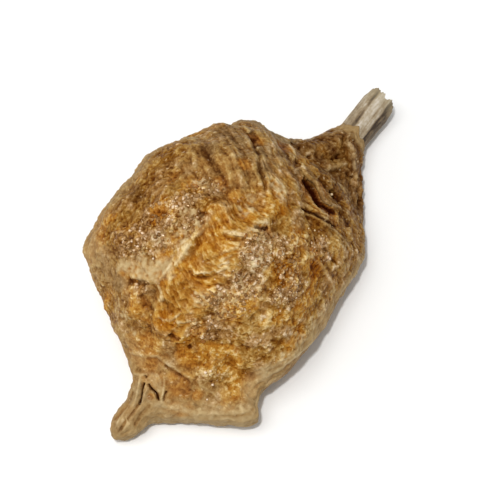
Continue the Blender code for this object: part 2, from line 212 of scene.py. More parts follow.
# The fine relief: heights, then pitches of the flaps, leaves and rings and how they are bent
FLAP_HEIGHT, THIN_FLAP_HEIGHT = 0.1, 0.05
LEAF_HEIGHT, RING_HEIGHT = 0.17, 0.1
FIBRE_HEIGHT, STREAK_HEIGHT = 0.07, 0.09
WRINKLE_HEIGHT, NECK_WRINKLES, RUFFLE_HEIGHT = 0.07, 0.04, 0.08
FLAP_PITCH, LEAF_PITCH, RING_PITCH = 0.92, 0.95, 0.5
SAW_MIDDLE = 0.4
FLAP_WARP = [(0.5, 3.2, 31), (0.4, 1.1, 32), (0.2, 0.5, 33)]
LEAF_WARP = [(0.4, 3.2, 38), (0.15, 1.1, 39)]
FIBRES = [(0.3, 1.0, 35), (0.2, 0.55, 37)]
GLASSY_CRUMBS = [(0.16, 0.58, 41), (0.08, 0.26, 42)]
PLAIN_CRUMBS = [(0.07, 0.5, 43), (0.06, 0.28, 44)]

# How strongly each part has fibres, is free of wrinkles, and has lengthwise streaks
FIBROUS = {"band lines": 1.0, "fan": 0.3, "rings": 0.7, "open ground": 0.3}
UNWRINKLED = {"tip": 0.6, "brim": 0.6, "wall": 0.9, "blunt end": 0.5}
STREAKED = {"tip": 1.0, "neck": 1.0, "brim": 0.8}

# How far leaves lean over to -x, and how much of a mark's relief shows in its tone: raised marks
# paler and sunk ones darker, partly as painted light and shade
LEAF_LEAN = 0.6
MARK_TONE = 0.6

# The finish: reach and gain of the fine and the broad tone, which make the relief's tops paler and
# its hollows darker, partly the foam's own paler edges and partly painted light and shade, and how
# far the painted shade in slits darkens it
TONE_REACH, TONE_GAIN = 0.3, 1.95
BROAD_REACH, BROAD_GAIN = 1.0, 0.9
SHADE_GAIN = 0.5
HOLLOW_SHADE_DARKENS = 0.16

# The finish's own parts: the pale collar at the mouth, painted shade on the strip under the near
# side's widest line, the far side's plain skin where it is steep, and the blunt end
COLLAR_START = (38.8, 40.2)
SHADED_STRIP_START, SHADED_STRIP_EDGE, SHADED_STRIP_DARKNESS = (10.2, 12.5), (0.1, -0.3), 0.5
FAR_SKIN_START, FAR_SKIN_SLOPE, FAR_SKIN_FROM = (8.0, 11.0), (0.72, 0.5), 2
BLUNT_SKIN_END = (9.0, 6.0)
BAND_COLOUR_END = (29, 22)

# How strongly each part is coloured as plain skin, and as lines of growth
PLAIN_SKIN = {"wall": 1.0, "tip": 0.75, "brim": 0.7, "collar": 0.8, "far skin": 0.62,
              "blunt skin": 0.5, "fan": 0.25}
LINED = {"band lines": 1.0, "fan": 0.35, "rings": 0.7}

# Ridges seen in the photograph: pixels along each, half width, height and how pale it is.
# The steep side of each is on the right of its path.
RIDGES = {
    "ledge beside the band": ([(175, 265), (183, 255), (188, 247), (191, 239)], 0.2, 0.35, 0.6),
    "ledge's broad part": ([(182, 254), (187, 246), (190, 239)], 0.36, 0.25, 0.7),
    "pink rim above the ledge": ([(191, 239), (196, 236), (202, 231), (207, 223),
        (209, 214)], 0.22, 0.28, 0.3),
    "ledge's lower end": ([(175, 264), (181, 257), (187, 248)], 0.42, 0.22, 0.75),
    "ledge rim": ([(157, 283), (166, 272), (173, 261)], 0.2, 0.3, 0.75),
    "ledge tail": ([(164, 302), (162, 291), (156, 281)], 0.16, 0.24, 0.6),
    "shelf edge": ([(117, 261), (128, 271), (140, 278), (153, 282)], 0.32, 0.25, 0.4),
    "smile flap": ([(190, 265), (197, 273), (208, 273), (218, 269)], 0.15, 0.2, 0.5),
    "flap right of the smile": ([(217, 268), (223, 263), (230, 262)], 0.18, 0.18, 0.5),
    "second flap right of it": ([(219, 262), (225, 257), (233, 255)], 0.2, 0.2, 0.55),
    "third flap right of it": ([(220, 255), (225, 250), (233, 248), (241, 246)], 0.24, 0.22, 0.6),
    "flap below them": ([(215, 274), (224, 269), (231, 264)], 0.16, 0.16, 0.4),
    "low smile flap": ([(158, 313), (166, 320), (174, 318), (182, 312)], 0.16, 0.22, 0.6),
    "low pale flap": ([(176, 320), (185, 322), (197, 317)], 0.2, 0.22, 0.65),
    "pink flap": ([(219, 227), (229, 233), (246, 236)], 0.26, 0.28, 0.4),
    "lip above the slit": ([(252, 222), (260, 223), (270, 223)], 0.2, 0.2, 0.45),
    "upright flap": ([(223, 200), (226, 213), (231, 227)], 0.2, 0.18, 0.25),
    "first arc": ([(207, 143), (216, 157), (221, 168), (226, 179), (229, 191)], 0.24, 0.14, 0.0),
    "second arc": ([(226, 145), (234, 159), (239, 171), (240, 186), (238, 197)], 0.28, 0.18, 0.05),
    "third arc": ([(246, 147), (253, 156), (256, 171), (256, 187)], 0.24, 0.16, 0.0),
    "fourth arc": ([(253, 142), (261, 156), (264, 171), (268, 186), (269, 199)], 0.24, 0.2, 0.05),
    "fifth arc": ([(262, 156), (268, 170), (272, 184)], 0.2, 0.18, 0.12),
    "first near line": ([(296, 201), (306, 206), (316, 212), (325, 218), (334, 224)], 0.22, 0.24, 0.2),
    "second near line": ([(294, 213), (305, 214), (315, 217), (322, 221), (328, 226), (335, 231),
        (342, 238), (348, 248), (353, 258)], 0.17, 0.2, 0.2),
    "third near line": ([(326, 232), (337, 241), (345, 252), (348, 265)], 0.14, 0.15, 0.2),
    "fourth near line": ([(308, 255), (319, 264), (327, 276), (334, 287)], 0.18, 0.2, 0.3),
    "near line by the outline": ([(341, 228), (349, 235), (354, 245), (358, 256)], 0.15, 0.18, 0.3),
    "pocket's lower lip": ([(336, 220), (323, 213), (312, 203), (308, 196),
        (302, 186)], 0.24, 0.35, 0.3),
    "web ridge": ([(350, 131), (348, 139), (352, 149), (354, 160), (356, 174),
        (359, 186)], 0.26, 0.5, 0.3),
    "web cross ridge": ([(322, 171), (332, 168), (341, 165), (351, 161)], 0.3, 0.42, 0.2),
    "web line": ([(300, 150), (312, 152), (325, 148), (338, 146)], 0.3, 0.2, 0.0),
    "web's far edge": ([(304, 140), (318, 135), (332, 133), (342, 128)], 0.3, 0.22, 0.15),
    "right rim": ([(335, 302), (347, 284), (354, 275), (359, 262), (357, 250)], 0.28, 0.2, 0.6),
    "lower right rim": ([(256, 384), (264, 378), (280, 368), (303, 350), (321, 333)], 0.28, 0.22, 0.7),
    "rib by the hollow": ([(132, 406), (136, 398), (137, 390), (139, 381),
        (140, 374)], 0.16, 0.26, 0.6),
    "rib in the hollow": ([(142, 402), (144, 393), (147, 388)], 0.12, 0.14, 0.4),
    "second rib": ([(164, 376), (163, 388), (161, 400)], 0.16, 0.2, 0.6),
    "plate between them": ([(150, 377), (157, 383), (161, 392)], 0.3, 0.12, 0.6),
    "end fold": ([(128, 353), (143, 356), (156, 356), (163, 361), (170, 366), (177, 370), (186, 376),
        (195, 380)], 0.26, 0.3, 0.55),
    "end fold's tail": ([(195, 380), (205, 388), (216, 397)], 0.22, 0.2, 0.3),
    "pale edge under the fold": ([(130, 374), (138, 375), (148, 374), (156, 375)], 0.2, 0.14, 0.5),
    "end rim": ([(150, 404), (164, 406), (177, 409), (192, 412), (210, 414), (230, 414), (246, 410),
        (254, 400)], 0.4, 0.2, 0.6),
    "inner rim": ([(170, 402), (184, 405), (200, 405), (216, 408), (234, 407)], 0.24, 0.12, 0.4),
    "flake on the rim": ([(219, 421), (228, 419), (236, 422)], 0.16, 0.14, 0.4),
    "streak on the tip": ([(141, 404), (132, 417), (122, 434)], 0.16, 0.12, 0.4),
    "second streak on the tip": ([(128, 405), (120, 416), (112, 430)], 0.14, 0.12, 0.35),
}

# Folds of foam rolled up round the neck's pocket: pixels along each, half width and lift
ROLLS = {
    "pocket's lip": ([(294, 173), (297, 169), (302, 169), (306, 173), (312, 179), (317, 183),
        (320, 189), (322, 196), (327, 201), (334, 205), (342, 207)], 0.26, 0.5),
    "pocket's outer lip": ([(327, 180), (333, 181), (339, 184), (344, 189), (346, 196), (349, 203),
        (351, 209)], 0.24, 0.3),
}
ROLL_POINTS_AROUND = 18

# Glassy beads of froth: how many per square millimetre of grainy foam, and their radii
BEADS_PER_AREA = 7.0
BEAD_RADIUS = (0.08, 0.26)
BEAD_SEED = 5

# Each bead's stretch along the foam, flatness, depth, tone and the painted highlight on its top
BEAD_STRETCH, BEAD_FLATNESS, BEAD_SINK = (1.0, 1.8), (0.6, 1.0), (-0.5, 0.0)
BEAD_TONE, BEAD_PAINTED_HIGHLIGHT = (0.15, 0.5), (0.1, 0.9)
BEADS_COME_IN = (0.3, 0.9)

# How the beads read in the foam's finish: past 1, the skin's own grain fades out
BEAD_GLASS = 1.25

# Grooves and slits seen in the photograph: pixels along each, half width, depth and how dark it
# is, the darkness being painted shade in the groove
GROOVES = {
    "under the shelf": ([(127, 283), (137, 281), (147, 286)], 0.36, 0.4, 0.5),
    "left of the low band": ([(141, 293), (145, 304), (150, 312)], 0.34, 0.3, 0.3),
    "under the pink flap": ([(221, 234), (232, 239), (246, 240)], 0.17, 0.24, 0.25),
    "slit right of the band": ([(253, 227), (258, 228), (264, 229), (270, 227)], 0.2, 0.3, 0.8),
    "long dark line": ([(191, 146), (205, 155), (217, 168), (226, 185)], 0.32, 0.22, 0.5),
    "crest cleft": ([(249, 130), (253, 138), (257, 148)], 0.42, 0.5, 0.6),
    "crest line": ([(257, 148), (259, 162), (262, 176), (267, 192)], 0.22, 0.22, 0.4),
    "between the arcs": ([(240, 155), (247, 168), (249, 185)], 0.2, 0.16, 0.2),
    "neck pocket": ([(302, 178), (307, 184), (312, 190), (316, 197), (322, 204), (329, 209),
        (337, 212)], 0.36, 0.8, 1.0),
    "pocket's shadow": ([(304, 182), (309, 189), (314, 197), (320, 205), (329, 211),
        (337, 214)], 0.42, 0.2, 1.0),
    "neck crease": ([(280, 138), (285, 150), (292, 161), (302, 167)], 0.5, 0.5, 0.5),
    "valley with the pit": ([(320, 177), (327, 187), (333, 195), (340, 202)], 0.45, 0.4, 0.6),
    "under the cross ridge": ([(316, 166), (330, 170), (344, 171)], 0.3, 0.3, 0.5),
    "over the cross ridge": ([(322, 156), (334, 158), (346, 155)], 0.28, 0.22, 0.4),
    "beside the web ridge": ([(344, 134), (345, 144), (348, 154), (350, 168)], 0.24, 0.3, 0.5),
    "right of the web": ([(359, 178), (361, 190), (360, 204), (357, 216)], 0.24, 0.3, 0.5),
    "between the near lines": ([(299, 208), (306, 211), (313, 214), (320, 218), (328, 223),
        (337, 228)], 0.17, 0.34, 0.9),
    "beyond the pocket": ([(340, 211), (345, 219), (350, 228)], 0.3, 0.3, 0.7),
    "under the second near line": ([(297, 217), (307, 218), (316, 221), (323, 226), (330, 232),
        (338, 240)], 0.14, 0.1, 0.2),
    "slit below the near lines": ([(299, 236), (304, 239), (309, 243)], 0.14, 0.16, 0.6),
    "first dark line on the flank": ([(323, 248), (330, 255), (337, 267)], 0.16, 0.14, 0.4),
    "second dark line on the flank": ([(319, 257), (328, 268), (334, 278)], 0.18, 0.16, 0.45),
    "low red hollow": ([(168, 334), (173, 336), (178, 339), (182, 341)], 0.3, 0.28, 0.7),
    "hollow, left edge": ([(144, 381), (141, 387), (140, 396), (139, 405)], 0.1, 0.4, 1.0),
    "hollow, right edge": ([(147, 382), (152, 389), (156, 393), (158, 397),
        (159, 401)], 0.13, 0.55, 1.0),
    "hollow's upper nick": ([(142, 374), (147, 378)], 0.1, 0.2, 0.6),
    "end slit": ([(167, 388), (165, 397), (165, 403)], 0.12, 0.3, 0.8),
    "under the end fold": ([(134, 369), (143, 372), (155, 373), (164, 371)], 0.24, 0.12, 0.3),
    "line beside the end fold": ([(164, 366), (173, 373), (183, 378), (191, 385)], 0.16, 0.18, 0.45),
    "corner crease": ([(224, 358), (235, 368), (246, 374), (255, 381)], 0.45, 0.25, 0.2),
    "smile gap": ([(189, 270), (197, 278), (209, 278), (219, 274)], 0.2, 0.2, 0.3),
    "gap under the ledge": ([(203, 222), (200, 238), (193, 252), (185, 264)], 0.3, 0.26, 0.3),
    "first streak on the tip": ([(133, 390), (126, 403), (113, 421)], 0.18, 0.16, 0.35),
    "second streak on the tip": ([(140, 400), (133, 412), (118, 432)], 0.18, 0.16, 0.5),
    "third streak on the tip": ([(150, 404), (144, 413), (134, 428)], 0.2, 0.14, 0.4),
}

# Round pits: pixel across and down, radius, height (below 0, as they lie under the skin) and
# how dark the painted shade in it is
SPOTS = {
    "low dark hole": (189, 348, 0.26, -0.18, 0.5),
    "oval pit in the web": (333, 194, 0.5, -0.7, 1.0),
    "pit by the web ridge": (343, 178, 0.32, -0.3, 0.8),
    "pit right of it": (353, 177, 0.26, -0.25, 0.7),
    "first neck pit": (309, 156, 0.3, -0.3, 0.8),
    "second neck pit": (298, 161, 0.3, -0.3, 0.8),
    "third neck pit": (330, 153, 0.26, -0.2, 0.7),
    "pit under the lip": (349, 139, 0.3, -0.35, 0.8),
    "hole in the hollow": (151, 396, 0.26, -0.2, 0.5),
    "crest pit": (254, 139, 0.35, -0.3, 0.8),
}

# Patches: how ragged the border is, then each blob's pixel across and down and its radius. Pale
# ones are bleached and smooth, glassy ones are granular.
PATCHES = {
    "pale": (0.6, [(126, 266, 0.8), (138, 271, 0.95), (151, 274, 1.0), (162, 269, 0.8),
        (168, 262, 0.6), (147, 264, 0.75)]),
    "frosted": (0.6, [(183, 232, 1.2), (192, 222, 0.9), (186, 213, 1.0), (160, 240, 1.1),
        (200, 186, 0.8), (218, 191, 0.7), (244, 210, 0.9), (261, 232, 1.1), (267, 241, 0.9),
        (257, 266, 1.1), (240, 284, 1.2), (227, 297, 1.1), (257, 292, 1.0), (224, 314, 1.0),
        (203, 297, 0.8), (140, 252, 0.9), (322, 310, 0.8), (312, 326, 0.9), (300, 342, 0.8),
        (331, 292, 0.7), (346, 270, 0.7), (285, 358, 0.8), (269, 372, 0.7), (280, 186, 0.9),
        (250, 198, 0.5), (269, 179, 0.5), (155, 381, 0.5), (160, 390, 0.4), (165, 405, 0.4),
        (180, 408, 0.5), (200, 411, 0.5), (220, 412, 0.5), (240, 409, 0.5), (119, 303, 0.7),
        (124, 318, 0.7), (131, 332, 0.6), (321, 332, 0.5)]),
    "glassy": (0.35, [(150, 228, 2.8), (180, 215, 2.4), (201, 192, 1.8), (122, 245, 1.6),
        (146, 250, 1.6), (262, 246, 2.2), (284, 258, 2.2), (246, 283, 2.2), (226, 303, 2.2),
        (290, 290, 2.4), (206, 330, 1.8), (140, 284, 1.2), (206, 384, 0.9), (320, 250, 1.6)]),
    "orange": (0.5, [(158, 212, 1.4), (221, 183, 0.8), (237, 197, 1.0), (219, 217, 1.6),
        (210, 241, 1.8), (221, 245, 1.6), (190, 268, 1.8), (165, 276, 1.2), (136, 302, 1.2),
        (165, 322, 1.4), (148, 346, 1.6), (278, 202, 1.6), (285, 273, 2.2), (313, 268, 1.6),
        (247, 298, 1.6), (230, 312, 1.4), (186, 360, 1.4), (178, 383, 1.6), (205, 290, 1.4),
        (244, 165, 0.8), (151, 395, 0.5), (186, 392, 0.9), (150, 365, 0.8), (195, 395, 0.7),
        (178, 392, 0.7), (262, 228, 0.7), (250, 215, 1.0), (262, 212, 0.8), (283, 270, 1.4),
        (313, 270, 1.2), (300, 240, 1.4), (305, 185, 1.2), (316, 200, 1.4), (330, 213, 1.4),
        (322, 190, 1.0), (345, 192, 0.5), (349, 206, 0.5), (283, 147, 0.9), (255, 138, 0.9),
        (177, 338, 1.0), (266, 231, 0.6), (229, 239, 0.7)]),
    "brown": (0.5, [(207, 150, 1.2), (222, 132, 1.4), (238, 140, 1.2), (258, 150, 1.0),
        (263, 168, 0.8), (120, 282, 1.0), (205, 218, 0.6), (330, 222, 1.2), (345, 245, 0.9),
        (300, 180, 1.4), (137, 195, 1.0), (310, 186, 1.5), (321, 194, 1.4), (333, 200, 1.6),
        (344, 212, 1.2), (325, 184, 1.2), (288, 156, 1.0), (116, 428, 0.8), (147, 398, 0.5)]),
}

# Broad shades of the foam: pixel across and down, radius, and how much lighter or darker it is
SHADES = [(168, 168, 4.0, -0.08), (112, 225, 2.5, -0.05), (232, 170, 3.5, -0.12),
    (205, 262, 3.0, 0.08), (248, 222, 2.0, -0.06), (270, 275, 4.0, 0.12), (262, 332, 3.5, 0.12),
    (176, 322, 3.5, -0.1), (133, 322, 2.0, -0.07), (338, 197, 2.2, -0.25), (322, 222, 1.1, -0.3),
    (115, 240, 2.0, -0.06), (320, 318, 2.5, 0.1), (335, 255, 2.0, 0.05), (284, 188, 1.2, 0.12),
    (283, 270, 1.4, -0.24), (313, 270, 1.3, -0.15), (262, 268, 1.2, 0.16), (250, 296, 1.2, 0.12),
    (226, 300, 1.2, 0.1), (160, 245, 1.2, 0.12), (136, 235, 1.2, -0.14), (172, 222, 1.0, 0.1),
    (185, 392, 1.2, -0.16), (200, 372, 1.0, 0.1), (225, 385, 1.5, 0.1), (150, 362, 1.0, -0.12),
    (321, 332, 0.7, 0.3)]

# The brightest glints, as glassy beads with a painted highlight, brighter on the side towards
# the camera: pixel across and down, radius of the bead, and how far it stands out
GLINTS = [(333, 194, 0.15, -0.1), (204, 373, 0.17, 0.15), (212, 371, 0.15, 0.15),
    (213, 386, 0.14, 0.15), (206, 400, 0.1, 0.12), (316, 231, 0.11, 0.15), (309, 229, 0.1, 0.15),
    (323, 235, 0.1, 0.15), (327, 236, 0.11, 0.15), (169, 365, 0.1, 0.2), (320, 147, 0.11, 0.12),
    (168, 222, 0.13, 0.15), (131, 242, 0.12, 0.15), (141, 241, 0.11, 0.15), (153, 257, 0.12, 0.15),
    (146, 249, 0.11, 0.15)]

# How marks show: how much of a ridge's paleness is left on average and the size of the worn
# stretches, how calm the skin is on ridges and in grooves, between which values of a mark's mask
# its paleness or its painted shade grows, and from and to which shares of its radius a pit's does
WORN, WORN_SIZE = 0.7, 0.7
RIDGE_CALM, GROOVE_CALM = 0.75, 0.5
RIDGE_PALENESS, GROOVE_DARKNESS = (0.35, 1.0), (0.1, 0.7)
SPOT_EDGE = (1.25, 0.5)

# The folds' taper at their ends, their lumps as (height, size), the painted light on their tops and
# the painted shadow on their undersides
FOLD_END = 0.06
FOLD_SWELL, FOLD_LUMPS = (0.2, 0.9), [(0.03, 0.4), (0.015, 0.18)]
FOLD_PAINTED_TOP_LIGHT, FOLD_MOTTLE = 0.14, 0.3
FOLD_BROWN, FOLD_SHADOW, FOLD_PALE = 0.35, 0.8, 0.1
FOLD_UNDERSIDE = (0.1, -0.6)

# Colours of the foam by its tone, from dark to pale: tone, red, green and blue as a screen shows
# them. Tan and amber are the dome's, umber and rust the neck's, the stains' and the painted shade's,
# plain that of the smooth skin, cream that of bleached foam and glass that of the grainy patches.
FOAM_COLOURS = {
    "tan": [(0.0, 84, 40, 4), (0.25, 120, 74, 18), (0.5, 152, 111, 50), (0.75, 178, 141, 80),
            (1.0, 212, 185, 132)],
    "amber": [(0.0, 90, 38, 0), (0.25, 136, 74, 6), (0.5, 168, 106, 24), (0.75, 192, 142, 58),
              (1.0, 228, 198, 136)],
    "umber": [(0.0, 40, 10, 0), (0.25, 70, 36, 6), (0.5, 100, 64, 27), (0.75, 130, 96, 55),
              (1.0, 168, 138, 98)],
    "rust": [(0.0, 44, 8, 0), (0.25, 80, 36, 8), (0.5, 114, 68, 32), (0.75, 148, 100, 60),
             (1.0, 186, 144, 106)],
    "plain": [(0.0, 108, 78, 42), (0.4, 151, 124, 83), (0.7, 170, 146, 106), (1.0, 200, 178, 140)],
    "cream": [(0.0, 146, 112, 64), (0.5, 187, 162, 117), (1.0, 222, 202, 160)],
    "glass": [(0.0, 84, 46, 14), (0.25, 124, 84, 38), (0.5, 158, 118, 70), (0.75, 190, 154, 113),
              (1.0, 234, 211, 184)],
}
# Colours of the painted glints on crumbs and of the painted shade in pits
PAINTED_GLINT_COLOUR = (232, 206, 164)
PIT_SHADE_COLOUR = (78, 36, 6)

# Textures of the foam and the twig, in features per metre, and how far ruffles bend the crumbs
CLOUD_SCALE, BLUSH_SCALE, PATCH_SCALE = 330.0, 620.0, 900.0
RUFFLE_SCALE, SPECKLE_SCALE = 2400.0, 2600.0
CRUMB_SCALE, SPECK_SCALE = 2800.0, 5600.0
RUFFLE = (0.0005, 0.0005, 0.0005)
TWIG_FIBRE_SCALE, TWIG_CLOUD_SCALE, TWIG_SPECKLE_SCALE = 5200.0, 600.0, 3200.0

# Flakes and fibres along the growth lines: how many per millimetre across them and along them,
# how much finer the fibres are, and how far specks bend the flakes
FLAKES_ACROSS, FLAKES_ALONG = 3.4, 1.3
FIBRE_FINENESS = (1.6, 1.0, 1.0)
FLAKE_BEND = (0.8, 0.8, 0.8)

# How strongly each texture swings the foam's tone, and how much paler the band is
SWINGS = {"speckle": 0.3, "fibre": 0.55, "flake": 0.25, "crumb": 0.35, "speck": 0.45, "patchy": 0.5,
          "cloudy": 0.65, "broad": 0.3}
BAND_TONE = 0.06

# How values are carried into shares: from low to high, then the share at each where it isn't 0
# and 1. First the grain in glassy foam, on smooth skin and on beads, then the foam's warmth, its
# blush, its darker patches, the painted glints on its crumbs and the painted shade in its pits, its
# gloss, and the edges in its relief.
GRAIN_IN_GLASS, GRAIN_ON_SMOOTH, GRAIN_ON_BEADS = (0, 1, 0.7, 1), (0, 1, 1, 0.25), (1.05, 1.2, 1, 0.2)
WARM_CLOUDS, WARM_LINES = (0.48, 0.62, 0, 0.75), (0, 0.35, 1, 0.4)
BLUSH_CLOUDS, BLUSH_PATCHES = (0.46, 0.62, 0, 0.7), (0.35, 0.6)
DARK_PATCHES = (0.56, 0.7, 0, 0.5)
GLINT_CRUMBS, GLINT_MIDDLES = (0.8, 0.9), (0.34, 0.14)
SHADED_PIT_CRUMBS, SHADED_PIT_MIDDLES = (0.2, 0.08), (0.4, 0.2)
GLOSSY_PATCHES, GLOSS_ON_SMOOTH = (0.3, 0.5), (0, 1, 1, 0.4)
CRUMB_EDGES, SPECK_EDGES, FLAKE_EDGES = (0, 0.6, 0.7, 0), (0, 0.6, 0.4, 0), (0, 0.6, 0.3, 0)

# How smooth lined foam is, how warm orange stains and the band are and how far warmth keeps the
# blush out, and how strongly painted glints on crumbs and painted shade in pits show
SMOOTH_LINES = 0.6
ORANGE_WARMTH, BAND_WARMTH, WARM_OVER_BLUSH = 0.85, 0.45, 0.6
PAINTED_GLINT_SHARE, PIT_SHADE_SHARE = 0.65, 0.55

# Roughness of the foam, what its gloss takes off, its least gloss, how rough stains and painted shade
# are.
# Then how high specks stand, and the strength and the depth in metres of the fine relief.
SKIN_ROUGHNESS, GLOSS_DEPTH, LEAST_GLOSS, STAIN_AND_SHADE_ROUGHNESS = 0.62, 0.42, 0.6, 0.95
SPECKLE_RELIEF = 0.8
SKIN_BUMP, BARK_BUMP = (0.8, 0.00007), (0.6, 0.00006)
SPECULAR_TINT = (1.0, 0.8, 0.55, 1.0)

# The foam's values as its skin reads them: three to each of the group's inputs. The brown stain
# also carries painted shade.
SKIN_VALUES = {"Form": ("form", "broad", "glassy"), "Part": ("band", "neck", "wall"),
               "Stain": ("orange", "brown", "pale"), "Lines": ("growth", "side", "lined")}

# The twig's bark round the twig: angle from +y to +z, how far it stands out, and how pale it is.
# Its low paleness on the near lower side, from about 150 to 200 degrees, is painted shade.
BARK = [(0, 1.06, 0.5), (17, 1.07, 0.42), (40, 1.02, 0.5), (62, 0.98, 0.5), (77, 0.94, 0.2),
        (88, 0.98, 0.66), (103, 1.01, 0.76), (115, 0.99, 0.66), (120, 0.97, 0.45), (127, 0.985, 0.6),
        (135, 0.98, 0.6), (147, 0.92, 0.0), (156, 0.96, 0.12), (175, 0.98, 0.2), (197, 1.0, 0.26),
        (215, 0.95, 0.3), (235, 0.99, 0.5), (262, 0.95, 0.2), (285, 1.0, 0.55), (310, 0.96, 0.35),
        (335, 1.0, 0.5), (360, 1.06, 0.5)]

# Its broken end: share across the twig as the camera sees it, left to right, and how far the
# wood falls short of the twig's reach there, on the side that shows and on the underside
BREAK = [(-1.0, 1.5), (-0.88, 0.6), (-0.69, 0.4), (-0.38, 0.7), (-0.13, 0.72), (0.1, 1.15), (0.2, 1.1),
         (0.44, 0.68), (0.64, 0.79), (0.92, 1.4), (1.0, 2.4)]
BREAK_UNDER = [(-1.0, 1.5), (-0.6, 0.5), (-0.2, 0.0), (0.1, 0.3), (0.5, 0.9), (1.0, 2.4)]
LEFT_EDGE = np.radians(16.7)
TWIG_POINTS_AROUND = 160
TWIG_ROWS = [(0.0, 0.78, 24), (0.78, 1.0, 130)]

# The bark's grain: height, stretch along the twig, size and seed, and how strongly it shows in the
# tone. Its grooves wander round the twig by this many degrees and as often as this.
BARK_GRAIN = [(0.016, 0.14, 0.12, 91), (0.022, 0.5, 0.42, 92)]
GRAIN_TONE = 8
WANDER, WANDERS = 3, 21

# The broken end: splinters of two kinds, where the twig starts to shorten, and the sunk heart,
# with its depth, its tone and the shares of the way out where its rings lie
SPLINTERS, FINE_SPLINTERS, SPLINTER_COUNT = 0.12, 0.06, 31
BREAK_START = (0.9, 1.0)
HEART_DEPTH, HEART_TONE = 1.1, 0.35
HEART_RINGS = (0.9, 0.7, 0.45, 0.2)

# Colours of the twig by its tone, and of its broken wood
TWIG_COLOURS = [(0.0, 58, 42, 26), (0.3, 122, 102, 74), (0.52, 158, 140, 112),
                (0.75, 190, 178, 158), (1.0, 214, 205, 192)]
BROKEN_WOOD = (164, 150, 118)

# How far its fibres are drawn out, how strongly its textures swing its tone, where its broken end
# begins in metres along it and how much of the broken wood's colour it takes, and its roughness
FIBRE_STRETCH = (0.12, 1.0, 1.0)
FIBRE_SWING, TWIG_CLOUD_SWING, TWIG_SPECKLE_SWING = 0.5, 0.4, 0.45
BROKEN_END = (0.0205, 0.0226, 0, 0.45)
TWIG_ROUGHNESS = 0.72

# The floor's half size and finish, the surround's brightness, and the lights: the camera's back,
# right and up shares of the way to each, its distance and size in metres, and its power
FLOOR_REACH = 3.0
FLOOR_COLOUR = (0.94, 0.94, 0.93, 1)
FLOOR_ROUGHNESS = 0.9
SURROUND = 0.4
LIGHTS = {
    "soft top light": ((1.0, -0.3, 0.35), 0.5, 0.3, 0.9),
    "soft left light": ((0.5, -1.0, 0.2), 0.5, 0.3, 0.35),
    "small glint light": ((1.0, -0.1, 0.2), 0.4, 0.02, 0.7),
}

# How much light the foam's skin and its beads throw back at a glance
SKIN_SPECULAR = 0.05
BEAD_SPECULAR = 0.6


def through(points, x):
    """A smooth curve through (x, value) points that never overshoots them (monotone cubic)."""
    xs, ys = np.array(points, float).T
    step = np.diff(xs)
    rise = np.diff(ys) / step
    slope = np.zeros(len(xs))
    weight_left = 2 * step[1:] + step[:-1]
    weight_right = step[1:] + 2 * step[:-1]
    same_way = rise[:-1] * rise[1:] > 0
    with np.errstate(divide="ignore", invalid="ignore"):
        mean = (weight_left + weight_right) / (weight_left / rise[:-1] + weight_right / rise[1:])
    slope[1:-1] = np.where(same_way, mean, 0)
    x = np.clip(x, xs[0], xs[-1])
    i = np.clip(np.searchsorted(xs, x) - 1, 0, len(step) - 1)
    t = (x - xs[i]) / step[i]
    return ((1 + 2 * t) * (1 - t) ** 2 * ys[i] + t * (1 - t) ** 2 * step[i] * slope[i]
            + t * t * (3 - 2 * t) * ys[i + 1] + t * t * (t - 1) * step[i] * slope[i + 1])


def smooth_step(value, low, high):
    """Rises smoothly from 0 at low to 1 at high, or the other way round where low is greater."""
    t = np.clip((value - low) / (high - low), 0, 1)
    return t * t * (3 - 2 * t)


def lattice(points, size):
    """The cell of a lattice of this size that each point is in, and its place in that cell."""
    scaled = points / size
    cell = np.floor(scaled).astype(np.int64)
    return cell, scaled - cell


def hashed(cell, seed, fold=15):
    """A repeatable whole number for each cell of a lattice."""
    key = cell @ np.array([73856093, 19349663, 83492791]) + seed * 2654435761
    key = (key ^ (key >> 13)) & 0xFFFFFFFF
    key = key * 1274126177 & 0xFFFFFFFF
    return key ^ (key >> fold)


def scattered(key):
    """Three repeatable numbers from 0 to 1 out of each hashed one."""
    return np.stack([key & 1023, key >> 10 & 1023, key >> 20 & 1023], -1) / 1023


def noise(points, size, seed):
    """Gradient noise in space, about -1 to 1, with lumps of about this size."""
    cell, local = lattice(points, size)
    blend = local ** 3 * (local * (local * 6 - 15) + 10)
    total = np.zeros(points.shape[:-1])
    for corner in np.ndindex(2, 2, 2):
        pull = scattered(hashed(cell + corner, seed)) * 2 - 1
        weight = np.prod(np.where(corner, blend, 1 - blend), axis=-1)
        total += weight * np.sum(pull * (local - corner), axis=-1)
    return total * 1.5


def soft_lumps(points, size, seed):
    """The solids' own lumps: values at the corners of a lattice, -1 to 1, blended smoothly."""
    cell, local = lattice(points, size)
    blend = local * local * (3 - 2 * local)
    total = np.zeros(points.shape[:-1])
    for corner in np.ndindex(2, 2, 2):
        value = (hashed(cell + corner, seed, 16) & 0xFFFF) / 0x8000 - 1
        total += value * np.prod(np.where(corner, blend, 1 - blend), axis=-1)
    return total


def layered(points, size, seed, layers=3):
    """Sum of noise at halving sizes, each layer half as strong as the last."""
    return sum(noise(points, size / 2 ** layer, seed + layer) / 2 ** layer for layer in range(layers))


def mixed(kind, points, layers, start=0):
    """Textures of one kind added to a start, each given by its height, its size and its seed."""
    return sum((height * kind(points, size, seed) for height, size, seed in layers), start)


def strongest(zone, shares):
    """The highest of several masks at each point, each one lowered to its share."""
    return np.maximum.reduce([share * zone[name] for name, share in shares.items()])


